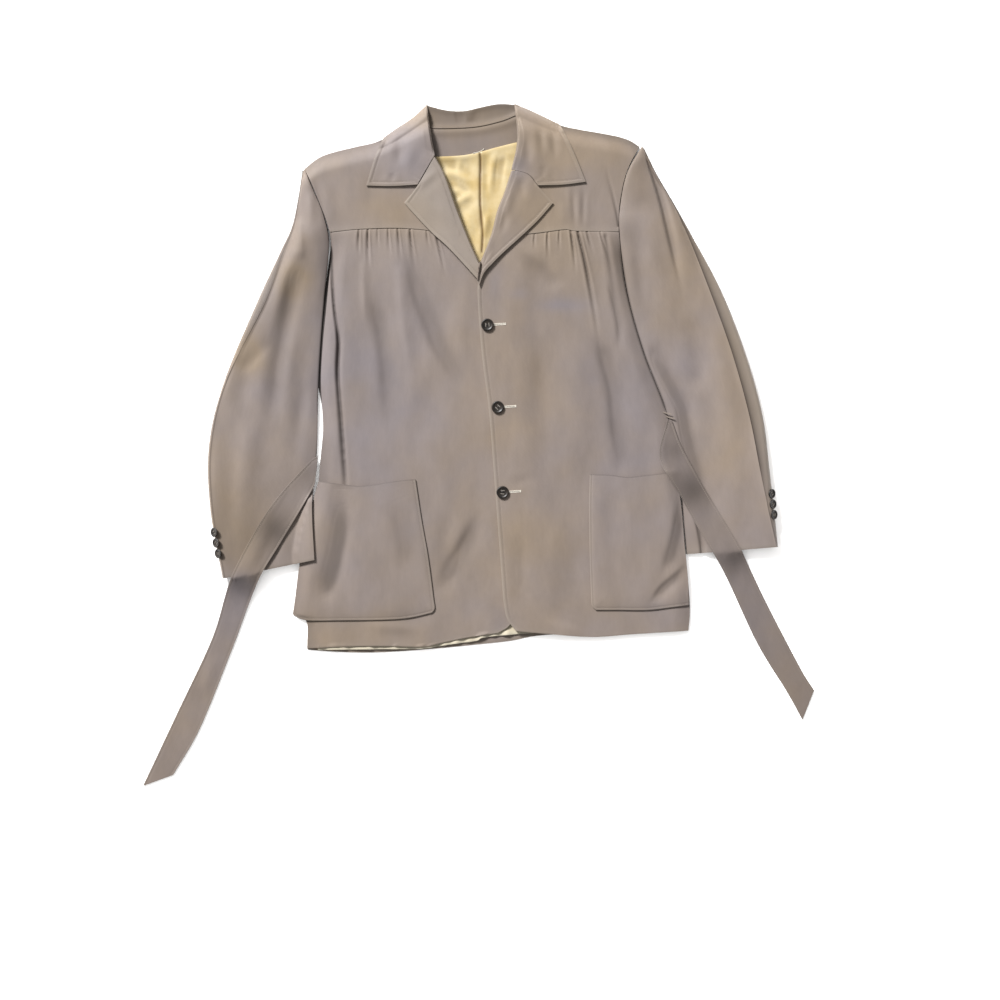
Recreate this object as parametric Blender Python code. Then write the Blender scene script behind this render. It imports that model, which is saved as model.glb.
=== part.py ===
"""A belted gabardine jacket laid flat on its back: every cut piece is its own thin wall."""

import math

import bpy
import numpy as np
from mathutils import Vector
from mathutils.bvhtree import BVHTree

# Driving sizes, in millimetres. X runs to the right, Y towards the collar and Z up.
MM = 0.001
CLOTH = 1.6
LINING = 1.0
GAP = 0.3
SEAM = 1.0
SIDE_ROLL = 24.0
SHOULDER_ROLL = 30.0
EDGE_HEIGHT = CLOTH + GAP
LAPEL_ROLL = 9.0
LAPEL_LIFT = 2.6
COLLAR_LIFT = 6.0
ROLL_START = 5.2
PLACKET_WIDTH = 46.0
PLACKET_LIFT = 2.4
BUTTON_ACROSS = 18.0
BUTTON_HIGH = 3.2
CUFF_BUTTON_ACROSS = 14.0
CUFF_BUTTON_HIGH = 2.6
SKY = 200.0

# Corners that several pieces share: x, y
LEFT_TIP, RIGHT_TIP = (-253, 400), (234, 432)
LEFT_NECK, RIGHT_NECK = (-79, 468), (57, 478)
LEFT_YOKE, RIGHT_YOKE = (-215, 306), (203, 307)
LEFT_BREAK, RIGHT_BREAK = (2, 264), (3, 264)
LEFT_GORGE, RIGHT_GORGE = (-88, 374), (86, 373)
LEFT_FLARE, RIGHT_FOOT = (-270, -247), (305, -271)

# Edges of the body, from the top down or from left to right: x, y
LEFT_ARMHOLE = (LEFT_TIP, (-239, 371), (-223, 331), LEFT_YOKE)
LEFT_SIDE = (
    LEFT_YOKE, (-214, 278), (-221, 200), (-226, 150), (-229, 95), (-227, 50),
    (-226, 20), (-229, -14), (-236, -81), (-252, -132), LEFT_FLARE,
)
# The back rolls out under the left sleeve and shows in the crevice beside the front.
LEFT_BACK_SIDE = (
    LEFT_YOKE, (-216, 278), (-227, 200), (-233, 150), (-235, 100), (-228, 55),
    (-226, 20), (-229, -14), (-236, -81), (-252, -132), LEFT_FLARE,
)
LEFT_SIDE_LOW = (LEFT_FLARE, (-250, -258), (-249, -297))
RIGHT_ARMHOLE = (RIGHT_TIP, (214, 392), (204, 345), RIGHT_YOKE)
RIGHT_SIDE = (RIGHT_YOKE, (215, 223), (239, 136), (273, 46), (289, -38), (301, -158), (307, -235), RIGHT_FOOT)
LEFT_SHOULDER = (LEFT_TIP, (-234, 415), (-215, 423), (-179, 432), (-143, 441), LEFT_NECK)
RIGHT_SHOULDER = (RIGHT_NECK, (118, 463), (147, 457), (176, 452), (202, 447), (220, 441), RIGHT_TIP)
NECK_SEAM = (LEFT_NECK, (-66, 458), (-7, 460), (31, 468), RIGHT_NECK)
BACK_HEM = (
    (-249, -299), (-207, -302), (-153, -303), (-82, -299),
    (2, -291), (47, -286), (107, -277), RIGHT_FOOT,
)
LINING_HEM = ((-233, -299), (-143, -298), (-82, -297), (-41, -291), (-4, -286), (34, -278), (281, -261))
LEFT_HEM = ((-249, -297), (-201, -294), (-143, -293), (-82, -294), (-56, -289), (-18, -281), (28, -274))
RIGHT_HEM = ((54, -271), (108, -276), (166, -280), (224, -276), RIGHT_FOOT)

# The roll lines run from the collar's fold to the break of the lapels: x, y
LEFT_ROLL = ((-75, 493), (-69, 452), (-63, 416), (-47, 387), (-30, 339), (-11, 291), LEFT_BREAK)
RIGHT_ROLL = ((52, 494), (56, 441), (47, 394), (37, 364), (27, 338), (18, 303), RIGHT_BREAK)
LEFT_YOKE_SEAM = (LEFT_YOKE, (-176, 310), (-125, 312), (-86, 310), (-56, 306), (-28, 303))
RIGHT_YOKE_SEAM = ((28, 302), (75, 304), (124, 310), (141, 308), RIGHT_YOKE)
LEFT_NECK_EDGE = (LEFT_NECK, (-79, 450), (-73, 416), (-57, 387), (-40, 339), (-28, 303))
RIGHT_NECK_EDGE = (RIGHT_NECK, (66, 441), (57, 394), (47, 364), (37, 338), (28, 302))
LEFT_FRONT_EDGE = ((-28, 303), (-21, 289), (4, 254), (22, 223), (37, 129), (47, 49), (53, -38), (56, -212))
LEFT_CORNER = ((56, -212), (53, -245), (44, -264), (28, -274))
RIGHT_FRONT_EDGE = ((28, 302), (14, 270), (1, 236), (-1, 209), (5, 129), (15, 49), (22, -38), (36, -226))
RIGHT_CORNER = ((36, -226), (41, -252), (54, -271))

# Collar and lapels: x, y
COLLAR_FOLD = ((-75, 492), (-47, 485), (-21, 484), (2, 489), (28, 494), (52, 493))
LEFT_COLLAR_TOP = ((-75, 493), (-96, 474), (-120, 458), (-137, 446))
LEFT_COLLAR_OUTER = ((-137, 446), (-150, 412), (-162, 373))
LEFT_COLLAR_LOW = ((-162, 373), (-125, 372), LEFT_GORGE)
RIGHT_COLLAR_TOP = ((52, 494), (75, 485), (117, 465))
RIGHT_COLLAR_OUTER = ((117, 465), (137, 422), (155, 378))
RIGHT_COLLAR_LOW = (RIGHT_GORGE, (121, 374), (155, 378))
LEFT_LAPEL_TIP, RIGHT_LAPEL_TIP = (-107, 348), (108, 348)
LEFT_LAPEL_OUTER = (LEFT_LAPEL_TIP, (-89, 328), (-66, 304), (-41, 281), (-2, 239))
RIGHT_LAPEL_OUTER = (RIGHT_LAPEL_TIP, (86, 323), (62, 300), (38, 278), (20, 260), (8, 246), (2, 229))
FACING_LOW = ((-78, 415), (-62, 416), (-24, 418), (2, 423), (31, 431), (66, 438))

# Patch pockets: x, y
LEFT_POCKET_TOP = ((-232, -54), (-194, -59), (-172, -61), (-152, -59), (-121, -54), (-91, -51))
LEFT_POCKET_INNER = ((-91, -51), (-82, -110), (-73, -161), (-65, -222), (-63, -238), (-67, -245))
LEFT_POCKET_LOW = ((-269, -249), (-249, -256), (-192, -256), (-131, -255), (-98, -252), (-67, -245))
LEFT_POCKET_OUTER = ((-232, -54), (-240, -81), (-250, -132), (-260, -177), (-269, -249))
RIGHT_POCKET_TOP = ((161, -44), (191, -45), (215, -48), (237, -46), (287, -40))
RIGHT_POCKET_INNER = ((161, -44), (160, -97), (161, -164), (163, -220), (164, -234), (170, -241))
RIGHT_POCKET_LOW = ((170, -241), (202, -241), (246, -241), (280, -237), (305, -234))
RIGHT_POCKET_OUTER = ((287, -40), (295, -97), (299, -146), (304, -197), (305, -234))

# Belt ties, by their two long edges: x, y
LEFT_BELT_UPPER = (
    (-233, -17), (-249, -30), (-305, -97), (-359, -197),
    (-388, -284), (-439, -393), (-488, -497),
)
LEFT_BELT_LOWER = (
    (-237, -56), (-243, -70), (-283, -138), (-323, -207),
    (-359, -300), (-405, -413), (-444, -481),
)
RIGHT_BELT_LOWER = (
    (273, 33), (262, -20), (292, -75), (328, -139),
    (360, -193), (405, -289), (449, -361), (471, -401),
)
RIGHT_BELT_UPPER = ((280, 35), (297, -9), (337, -80), (382, -157), (421, -236), (468, -326), (488, -358))

# Underside height of the fronts away from any edge: y, height
BODY_LOFT = ((-300, 5.0), (-150, 6.5), (0, 7.5), (150, 8.5), (309, 11.0), (400, 14.0), (480, 15.0))

# Sleeve stations from shoulder to cuff.
# inner x, inner y, outer x, outer y, strip of under sleeve on top, roll radius, crown, inner edge height,
# and how far the under sleeve's inner edge draws back from the top sleeve's
LEFT_SLEEVE = (
    (-252, 396, -256, 393, 2.0, 1.2, 5, 2.2, 0),
    (-240.5, 370, -261, 359, 5, 3.5, 14, 10, 0),
    (-224.2, 330, -270, 316, 6, 4.0, 17, 11, 0),
    (-217, 286, -286, 280, 9, 5.0, 18, 6, 1),
    (-224.5, 209, -321, 204, 13, 6.0, 17, 2.2, 4),
    (-232, 107, -368, 91, 9, 6.0, 16, 2.2, 4.5),
    (-234.5, 6, -390, -1, 9, 6.5, 16, 2.2, 0),
    (-241, -81, -388, -93, 11, 8.0, 17, 2.2, 0),
    (-237, -168, -370, -195, 11, 8.0, 17, 2.2, 0),
)
RIGHT_SLEEVE = (
    (236, 430, 240, 430, 2.0, 1.2, 5, 2.2, 0),
    (215.2, 391, 257, 394, 5, 3.5, 14, 10, 0),
    (205.6, 345, 286, 344, 6, 4.0, 17, 11, 0),
    (204.8, 306, 308, 304, 7, 4.5, 18, 8, 0),
    (216.4, 223, 350, 225, 11, 5.5, 18, 2.2, 0),
    (240.4, 136, 386, 132, 18, 7.0, 17, 2.2, 0),
    (274.4, 46, 411, 42, 20, 7.0, 16, 2.2, 0),
    (290.4, -38, 422, -48, 13, 9.0, 18, 2.2, 0),
    (302.4, -160, 433, -149, 12, 9.0, 18, 2.2, 0),
)

# Gathers below each yoke and the larger folds: start x, y, bend x, y, end x, y, width, rise
LEFT_FOLDS = (
    (-175, 309, -175, 287, -172, 262, 4.5, -2.6),
    (-160, 309, -161, 280, -163, 250, 4.5, -2.4),
    (-131, 310, -128, 285, -124, 262, 5.0, -2.6),
    (-117, 310, -113, 262, -107, 214, 5.0, -2.2),
    (-101, 309, -98, 272, -79, 209, 5.0, -3.4),
    (-76, 307, -71, 275, -62, 245, 5.0, -2.4),
    (-59, 304, -54, 275, -48, 245, 4.5, -2.4),
    (-79, 215, -60, 160, -30, 100, 16.0, -2.8),
    (-131, 190, -134, 90, -128, -10, 20.0, -2.0),
    (-108, 205, -98, 120, -92, 50, 14.0, 1.8),
    (-214, 262, -202, 130, -196, -60, 7.0, -3.4),
    (8, -105, -28, -150, -54, -198, 20.0, 2.2),
)
RIGHT_FOLDS = (
    (84, 303, 84, 288, 86, 268, 4.5, -2.2),
    (101, 305, 102, 283, 102, 258, 4.5, -2.4),
    (118, 308, 119, 292, 120, 274, 4.5, -2.0),
    (132, 308, 140, 258, 143, 190, 5.0, -3.0),
    (144, 308, 166, 226, 178, 130, 5.5, -3.6),
    (158, 307, 164, 285, 171, 260, 4.5, -2.4),
    (178, 306, 190, 240, 200, 132, 5.5, -3.0),
    (56, 268, 84, 254, 112, 240, 12.0, -1.8),
    (150, 170, 150, 60, 140, -60, 22.0, 2.0),
    (96, 180, 92, 70, 98, -30, 22.0, -1.8),
)
YOKE_FOLDS = (
    (135, 372, 138, 340, 141, 311, 6.0, -1.6),
    (152, 374, 152, 340, 151, 309, 6.0, -1.4),
)

# Front buttons lie at x, y; cuff buttons stand on the sleeve's outer roll at a share of its length
FRONT_BUTTONS = ((13, 172), (28, 53), (35, -70))
LEFT_CUFF_SHARES = (0.919, 0.9375, 0.956)
RIGHT_CUFF_SHARES = (0.906, 0.9245, 0.943)
CUFF_BUTTON_TILT = 38.0

TAUPE = (0.37, 0.32, 0.27, 1.0)
CREAM = (0.84, 0.70, 0.42, 1.0)
HORN = (0.015, 0.011, 0.009, 1.0)

for leftover in list(bpy.data.objects):
    bpy.data.objects.remove(leftover, do_unlink=True)

made = {}


def smooth_line(points):
    """A smooth line through the points, as many close points."""
    p = np.array(points, float)
    p = np.vstack([2 * p[0] - p[1], p, 2 * p[-1] - p[-2]])
    t = np.linspace(0, 1, 12, endpoint=False)[:, None]
    runs = []
    for a, b, c, d in zip(p, p[1:], p[2:], p[3:]):
        bend = (2 * a - 5 * b + 4 * c - d) * t**2 + (3 * b - a - 3 * c + d) * t**3
        runs.append(b + 0.5 * ((c - a) * t + bend))
    return np.vstack(runs + [p[-2:-1]])


def edge(*runs):
    """A function from 0..1 to points along the runs, which meet at sharp corners."""
    line = np.vstack([smooth_line(run) for run in runs])
    steps = np.hypot(*np.diff(line, axis=0).T)
    share = np.concatenate([[0], np.cumsum(steps)]) / steps.sum()

    def at(t):
        return np.stack([np.interp(t, share, line[:, 0]), np.interp(t, share, line[:, 1])], -1)

    return at


def corner_share(runs, count):
    """How far along an edge its first runs reach, as a share of the whole."""
    lengths = [np.hypot(*np.diff(smooth_line(run), axis=0).T).sum() for run in runs]
    return sum(lengths[:count]) / sum(lengths)


def moved(points, x, y):
    return tuple((px + x, py + y) for px, py in points)


def raised_end(points):
    """The same line with its last point one seam higher up."""
    return points[:-1] + moved(points[-1:], 0, SEAM)


def patch(top, bottom, left, right, across, down):
    """A grid of x, y filled in between four edges."""
    u, v = across[None, :, None], down[:, None, None]
    rows = (1 - v) * top(across)[None] + v * bottom(across)[None]
    columns = (1 - u) * left(down)[:, None] + u * right(down)[:, None]
    corners = (1 - v) * ((1 - u) * top(0.0) + u * top(1.0))
    corners = corners + v * ((1 - u) * bottom(0.0) + u * bottom(1.0))
    return rows + columns - corners


def even(count):
    return np.linspace(0, 1, count + 1)


def close_to_ends(count, pull=0.35):
    """Shares from 0 to 1 that stand closer together at both ends."""
    t = even(count)
    return t - pull * np.sin(2 * np.pi * t) / (2 * np.pi)


def soft(t):
    t = np.clip(t, 0, 1)
    return t * t * (3 - 2 * t)


def rounded(t):
    return np.sin(np.pi / 2 * np.clip(t, 0, 1))


def distance_to(xy, line):
    """Distance of each grid point to a line of close points, and how far along it lies."""
    apart = np.linalg.norm(xy[..., None, :] - line, axis=-1)
    nearest = apart.argmin(-1)
    return apart.min(-1), nearest / (len(line) - 1)


def folds(xy, table):
    """Height that the folds of a table add."""
    rise = np.zeros(xy.shape[:2])
    t = np.linspace(0, 1, 60)[:, None]
    for x0, y0, x1, y1, x2, y2, width, height in table:
        ends = (1 - t) ** 2 * np.array([x0, y0]) + t**2 * np.array([x2, y2])
        apart, along = distance_to(xy, ends + 2 * t * (1 - t) * np.array([x1, y1]))
        fade = soft(along / 0.12) * soft((1 - along) / 0.55)
        shape = np.exp(-((apart / width) ** 2)) - 0.35 * np.exp(-((apart / width - 2.2) ** 2))
        rise += height * fade * shape
    return rise


left_line = np.vstack([smooth_line(LEFT_ARMHOLE), smooth_line(LEFT_SIDE), smooth_line(LEFT_SIDE_LOW)])
right_line = np.vstack([smooth_line(RIGHT_ARMHOLE), smooth_line(RIGHT_SIDE)])
shoulder_line = np.vstack([smooth_line(LEFT_SHOULDER), smooth_line(RIGHT_SHOULDER)])


def body_height(xy):
    """Underside of the fronts and yokes: low at the side seams and shoulders, full between."""
    x, y = xy[..., 0], xy[..., 1]
    left = np.interp(-y, -left_line[:, 1], left_line[:, 0])
    right = np.interp(-y, -right_line[:, 1], right_line[:, 0])
    from_side = np.minimum(x - left, right - x)
    armhole = soft((y - 262) / 50)
    side = armhole + (1 - armhole) * rounded(from_side / SIDE_ROLL)
    shoulder = np.interp(x, shoulder_line[:, 0], shoulder_line[:, 1]) - y
    loft = np.interp(y, *zip(*BODY_LOFT))
    return EDGE_HEIGHT + (loft - EDGE_HEIGHT) * side * rounded(shoulder / SHOULDER_ROLL)


def tree_of(names):
    """The named pieces as one surface that rays can meet."""
    points, faces = [], []
    for name in names:
        first = len(points)
        points += [Vector(p) for p in made[name][0]]
        faces += [[first + i for i in face] for face in made[name][1]]
    return BVHTree.FromPolygons(points, faces)


def highest(tree, x, y):
    hit = tree.ray_cast(Vector((x, y, SKY)), Vector((0, 0, -1)))[0]
    return hit.z if hit else -GAP


def lay(xy, names, steps=4):
    """Lowest height at which a piece clears all it lies on, cell by cell."""
    tree = tree_of(names)
    rows, columns = xy.shape[:2]
    fine_rows = np.linspace(0, rows - 1, (rows - 1) * steps + 1)
    fine_columns = np.linspace(0, columns - 1, (columns - 1) * steps + 1)
    r = np.minimum(fine_rows.astype(int), rows - 2)
    c = np.minimum(fine_columns.astype(int), columns - 2)
    fr, fc = (fine_rows - r)[:, None, None], (fine_columns - c)[None, :, None]
    upper = (1 - fc) * xy[r][:, c] + fc * xy[r][:, c + 1]
    lower = (1 - fc) * xy[r + 1][:, c] + fc * xy[r + 1][:, c + 1]
    fine = (1 - fr) * upper + fr * lower
    heights = np.array([[highest(tree, x, y) for x, y in row] for row in fine])
    z = np.empty((rows, columns))
    for i in range(rows):
        for j in range(columns):
            near = heights[max(0, (i - 1) * steps) : (i + 1) * steps + 1]
            z[i, j] = near[:, max(0, (j - 1) * steps) : (j + 1) * steps + 1].max()
    return z + GAP + 0.05


def stiffened(z, passes):
    """Cloth bridges small hollows: each pass lifts a point to the mean of its neighbours."""
    for _ in range(passes):
        padded = np.pad(z, 1, mode="edge")
        mean = (padded[:-2, 1:-1] + padded[2:, 1:-1] + padded[1:-1, :-2] + padded[1:-1, 2:]) / 4
        z = np.maximum(z, mean)
    return z


def material(name, colour, rough):
    new = bpy.data.materials.new(name)
    new.use_nodes = True
    shader = new.node_tree.nodes["Principled BSDF"]
    shader.inputs["Base Color"].default_value = colour
    shader.inputs["Roughness"].default_value = rough
    return new


def add_piece(name, points, faces, colour, rough):
    made[name] = (points, faces)
    mesh = bpy.data.meshes.new(name)
    mesh.from_pydata([[c * MM for c in p] for p in points], [], faces)
    mesh.materials.append(material(name, colour, rough))
    piece = bpy.data.objects.new(name, mesh)
    bpy.context.scene.collection.objects.link(piece)


def wall(name, upper, lower, colour=TAUPE, rough=0.85):
    """A closed wall between two grids of points."""
    rows, columns = upper.shape[:2]
    count = rows * columns
    points = np.vstack([upper.reshape(-1, 3), lower.reshape(-1, 3)]).tolist()
    index = np.arange(count).reshape(rows, columns)
    faces = []
    for i in range(rows - 1):
        for j in range(columns - 1):
            quad = [index[i, j], index[i + 1, j], index[i + 1, j + 1], index[i, j + 1]]
            faces.append([int(q) for q in quad])
            faces.append([int(q) + count for q in reversed(quad)])
    rim = [*index[:, 0], *index[-1, 1:], *index[-2::-1, -1], *index[0, -2:0:-1]]
    for a, b in zip(rim, rim[1:] + rim[:1]):
        faces.append([int(a), int(a) + count, int(b) + count, int(b)])
    add_piece(name, points, faces, colour, rough)


def sheet(name, xy, z, thick=CLOTH, colour=TAUPE, rough=0.85):
    """A wall whose underside has the height z over the grid x, y."""
    lower = np.dstack([xy, z])
    upper = np.dstack([xy, z + thick])
    wall(name, upper, lower, colour, rough)


def station_line(table, column):
    """One column of a sleeve table as a smooth function of the share from shoulder to cuff."""
    points = [(i / (len(table) - 1), row[column]) for i, row in enumerate(table)]
    line = smooth_line(points)
    return lambda s: np.interp(s, line[:, 0], line[:, 1])


def sleeve(side, table, below, down):
    """Under sleeve flat on the surface and rolled over the outer edge; top sleeve arched over it."""
    column = [station_line(table, k)(down) for k in range(9)]
    inner, outer = np.stack(column[0:2], -1), np.stack(column[2:4], -1)
    strip, roll, crown, start, drawn_back = column[4:9]
    width = np.linalg.norm(outer - inner, axis=-1)
    across = (outer - inner) / width[:, None]
    floor_shares = np.array([0, 0.08, 0.16, 0.24, 0.34, 1.0])
    floor_at = drawn_back[:, None] + floor_shares[None] * (width - roll - drawn_back)[:, None]
    xy = inner[:, None] + floor_at[..., None] * across[:, None]
    rest = np.maximum(lay(xy, below) if below else np.zeros(xy.shape[:2]), 0)
    reach, height = [floor_at], [rest + CLOTH / 2]
    for angle in np.radians([-45, 0, 45, 90]):
        reach.append((width - roll + roll * math.cos(angle))[:, None])
        height.append((CLOTH / 2 + roll + roll * math.sin(angle))[:, None])
    top = CLOTH / 2 + 2 * roll
    reach.append((width - strip)[:, None])
    height.append((top + 0.18 * (strip - roll))[:, None])
    reach, height = np.hstack(reach), np.hstack(height)
    run, rise = np.gradient(reach, axis=1), np.gradient(height, axis=1)
    size = np.hypot(run, rise)
    run, rise = run / size, rise / size
    inside = np.dstack([reach - rise * CLOTH / 2, height + run * CLOTH / 2])
    outside = np.dstack([reach + rise * CLOTH / 2, height - run * CLOTH / 2])
    inside[:, -1] = np.stack([reach[:, -1], height[:, -1] - CLOTH / 2], -1)
    outside[:, -1] = np.stack([reach[:, -1], height[:, -1] + CLOTH / 2], -1)
    grids = []
    for line in (inside, outside):
        flat = inner[:, None] + line[..., :1] * across[:, None]
        grids.append(np.dstack([flat, line[..., 1]]))
    order = 1 if side == "right" else -1
    wall("sleeve_under_" + side, grids[0][:, ::order], grids[1][:, ::order])
    shares = close_to_ends(9, 0.5)
    top_at = shares[None] * (width - strip - SEAM)[:, None]
    xy = inner[:, None] + top_at[..., None] * across[:, None]
    seam_height = height[:, -1] - CLOTH / 2
    base = start[:, None] + (seam_height - start)[:, None] * shares[None]
    swell = (crown - np.maximum(seam_height, start))[:, None] * np.sin(np.pi * shares)[None] ** 0.8
    z = base + np.maximum(swell, 0)
    z = np.maximum(z, lay(xy, ["sleeve_under_" + side]))
    sheet("sleeve_top_" + side, xy[:, ::order], z[:, ::order])


def turned_leaf(name, xy, roll, below, lift, top=None):
    """A collar leaf or lapel: it leaves its roll line low, rounds over and lies on what is below."""
    apart = distance_to(xy, smooth_line(roll))[0]
    rest = lay(xy, below)
    over = rest + lift * np.exp(-((apart / 30) ** 2)) + 0.6
    z = ROLL_START + (np.maximum(over, ROLL_START + 4) - ROLL_START) * rounded(apart / LAPEL_ROLL)
    if top is not None:
        from_top = distance_to(xy, smooth_line(top))[0]
        z = EDGE_HEIGHT + 0.4 + (z - EDGE_HEIGHT - 0.4) * rounded(from_top / 16)
    sheet(name, xy, np.maximum(z, rest))


def front_seat(xy, across, tree):
    """Where a button rests on nearly level cloth, and the cloth's mean slope there."""
    hit, normal, _, _ = tree.ray_cast(Vector((*xy, SKY)), Vector((0, 0, -1)))
    total = normal.copy()
    for around in np.arange(8) * math.tau / 8:
        x, y = xy[0] + across / 3 * math.cos(around), xy[1] + across / 3 * math.sin(around)
        found = tree.ray_cast(Vector((x, y, SKY)), Vector((0, 0, -1)))
        total += found[1] if found[0] else normal
    return hit, total.normalized()


def cuff_seat(table, share):
    """Where a button rests on the outer roll of a sleeve, tilted outwards."""
    row = [float(station_line(table, k)(share)) for k in range(8)]
    outward = Vector((row[2] - row[0], row[3] - row[1], 0)).normalized()
    roll, tilt = row[5], math.radians(CUFF_BUTTON_TILT)
    centre = Vector((row[2], row[3], CLOTH / 2 + roll)) - outward * roll
    normal = outward * math.sin(tilt) + Vector((0, 0, 1)) * math.cos(tilt)
    return centre + normal * (roll + CLOTH / 2), normal


def button(name, hit, normal, across, high, tree):
    """A turned button with a rim and a dished face, seated just clear of the cloth."""
    turn = Vector((0, 0, 1)).rotation_difference(normal)
    r = across / 2
    profile = ((0.62, 0), (0.94, 0.3), (1, 0.7), (0.86, 1), (0.66, 0.72))
    around = np.arange(16) * math.tau / 16
    points = [Vector((0, 0, 0))]
    for radius, z in profile:
        points += [Vector((radius * r * math.cos(a), radius * r * math.sin(a), z * high)) for a in around]
    points.append(Vector((0, 0, 0.66 * high)))
    seat = 0.0
    for p in points:
        start = hit + turn @ p + normal * 40
        ground = tree.ray_cast(start, -normal)[0]
        seat = max(seat, 40 - (start - ground).length) if ground else seat
    points = [tuple(hit + turn @ p + normal * (seat + GAP)) for p in points]
    faces = [[0, 1 + (k + 1) % 16, 1 + k] for k in range(16)]
    for ring in range(len(profile) - 1):
        a, b = 1 + 16 * ring, 17 + 16 * ring
        faces += [[a + k, a + (k + 1) % 16, b + (k + 1) % 16, b + k] for k in range(16)]
    last = 1 + 16 * (len(profile) - 1)
    faces += [[last + k, last + (k + 1) % 16, len(points) - 1] for k in range(16)]
    add_piece(name, points, faces, HORN, 0.3)


def columns_with(count, seam, table):
    """Even columns plus three on each gather, as shares along the yoke seam."""
    line = np.array([seam(t) for t in even(200)])
    shares = set(even(count))
    for row in table:
        if row[1] > 300:
            at = float(np.abs(line[:, 0] - row[0]).argmin()) / 200
            shares |= {at - 0.022, at, at + 0.022}
    shares = sorted(s for s in shares if 0 <= s <= 1)
    kept = [shares[0]]
    for s in shares[1:-1]:
        if s - kept[-1] > 0.012 and 1 - s > 0.012:
            kept.append(s)
    return np.array(kept + [1.0])


# The fall of the collar lies under the neck, and the back and its lining lie over it.
fall_top = edge(LEFT_COLLAR_TOP[::-1], COLLAR_FOLD, RIGHT_COLLAR_TOP)
fall_low = edge(((-135, 443), (-90, 425), (-10, 422), (60, 430), (115, 461)))
fall_left, fall_right = edge(((-137, 446), (-135, 443))), edge(((117, 465), (115, 461)))
grid = patch(fall_top, fall_low, fall_left, fall_right, even(14), even(3))
sheet("collar_back", grid, np.zeros(grid.shape[:2]))

back_top = edge(LEFT_SHOULDER, NECK_SEAM, RIGHT_SHOULDER)
left_runs = (LEFT_ARMHOLE, LEFT_BACK_SIDE, LEFT_SIDE_LOW, ((-249, -297), BACK_HEM[0]))
back_left = edge(*left_runs)
back_right = edge(RIGHT_ARMHOLE, RIGHT_SIDE)
corner = corner_share(left_runs, 2)
back_down = np.array([0, 0.03, 0.06, 0.09, 0.13, 0.17, 0.22, 0.27, 0.32, 0.37, 0.42, 0.47, 0.52])
back_down = np.append(back_down, [0.6, 0.7, 0.8, 0.87, corner, corner + 0.03, 1])
grid = patch(back_top, edge(BACK_HEM), back_left, back_right, even(18), back_down)
over_fall = lay(grid, ["collar_back"])
sheet("back", grid, np.where(over_fall > 1, over_fall, 0.0))

stand_low = edge(((-72, 462), (-60, 459), (-7, 461), (31, 469), (52, 477)))
stand_left, stand_right = edge(((-75, 492), (-72, 462))), edge(((52, 493), (52, 477)))
grid = patch(edge(COLLAR_FOLD), stand_low, stand_left, stand_right, even(12), even(3))
sheet("collar_stand", grid, lay(grid, ["collar_back", "back"]))

facing_top = edge(((-74, 458), (-62, 456), (-7, 458), (31, 466), (58, 476)))
facing_left, facing_right = edge(((-74, 458), FACING_LOW[0])), edge(((58, 476), FACING_LOW[-1]))
grid = patch(facing_top, edge(FACING_LOW), facing_left, facing_right, even(8), even(3))
sheet("neck_facing", grid, lay(grid, ["back"]), LINING)

lining_top = edge(((-180, 412), (-100, 413)) + moved(FACING_LOW, 0, -2) + ((100, 434), (160, 425)))
lining_left = edge(((-180, 412), (-186, 300), (-200, 60), (-212, -120), (-233, -299)))
lining_right = edge(((160, 425), (178, 300), (240, 50), (272, -120), (281, -261)))
grid = patch(lining_top, edge(LINING_HEM), lining_left, lining_right, even(12), even(12))
sheet("back_lining", grid, lay(grid, ["back"]), LINING, CREAM, 0.45)

# Yokes and fronts share one height, and each has its own folds.
inner_layers = ["back", "back_lining", "neck_facing", "collar_back"]
yoke_down = np.array([0, 0.05, 0.12, 0.22, 0.4, 0.6, 0.8, 1])
armhole, neck = edge(raised_end(LEFT_ARMHOLE)), edge(raised_end(LEFT_NECK_EDGE))
low = edge(moved(LEFT_YOKE_SEAM, 0, SEAM))
grid = patch(edge(LEFT_SHOULDER), low, armhole, neck, close_to_ends(11), yoke_down)
sheet("yoke_left", grid, np.maximum(body_height(grid), lay(grid, inner_layers)))
armhole, neck = edge(raised_end(RIGHT_ARMHOLE)), edge(raised_end(RIGHT_NECK_EDGE))
low = edge(moved(RIGHT_YOKE_SEAM, 0, SEAM))
grid = patch(edge(RIGHT_SHOULDER), low, neck, armhole, close_to_ends(13), yoke_down)
z = body_height(grid) + folds(grid, YOKE_FOLDS)
sheet("yoke_right", grid, np.maximum(z, lay(grid, inner_layers)))

front_down = np.array([0, 0.02, 0.05, 0.09, 0.13, 0.18, 0.24, 0.31, 0.39, 0.48, 0.57, 0.66, 0.75, 0.83])
left_runs = (LEFT_SIDE, LEFT_SIDE_LOW)
corner = corner_share(left_runs, 1)
seam, hem = edge(LEFT_YOKE_SEAM), edge(LEFT_HEM)
side, opening = edge(*left_runs), edge(LEFT_FRONT_EDGE, LEFT_CORNER)
down = np.append(front_down, [corner, corner + 0.035, 0.97, 1])
grid = patch(seam, hem, side, opening, columns_with(20, seam, LEFT_FOLDS), down)
z = body_height(grid) + folds(grid, LEFT_FOLDS)
sheet("front_left", grid, np.maximum(z, lay(grid, inner_layers)))

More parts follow.
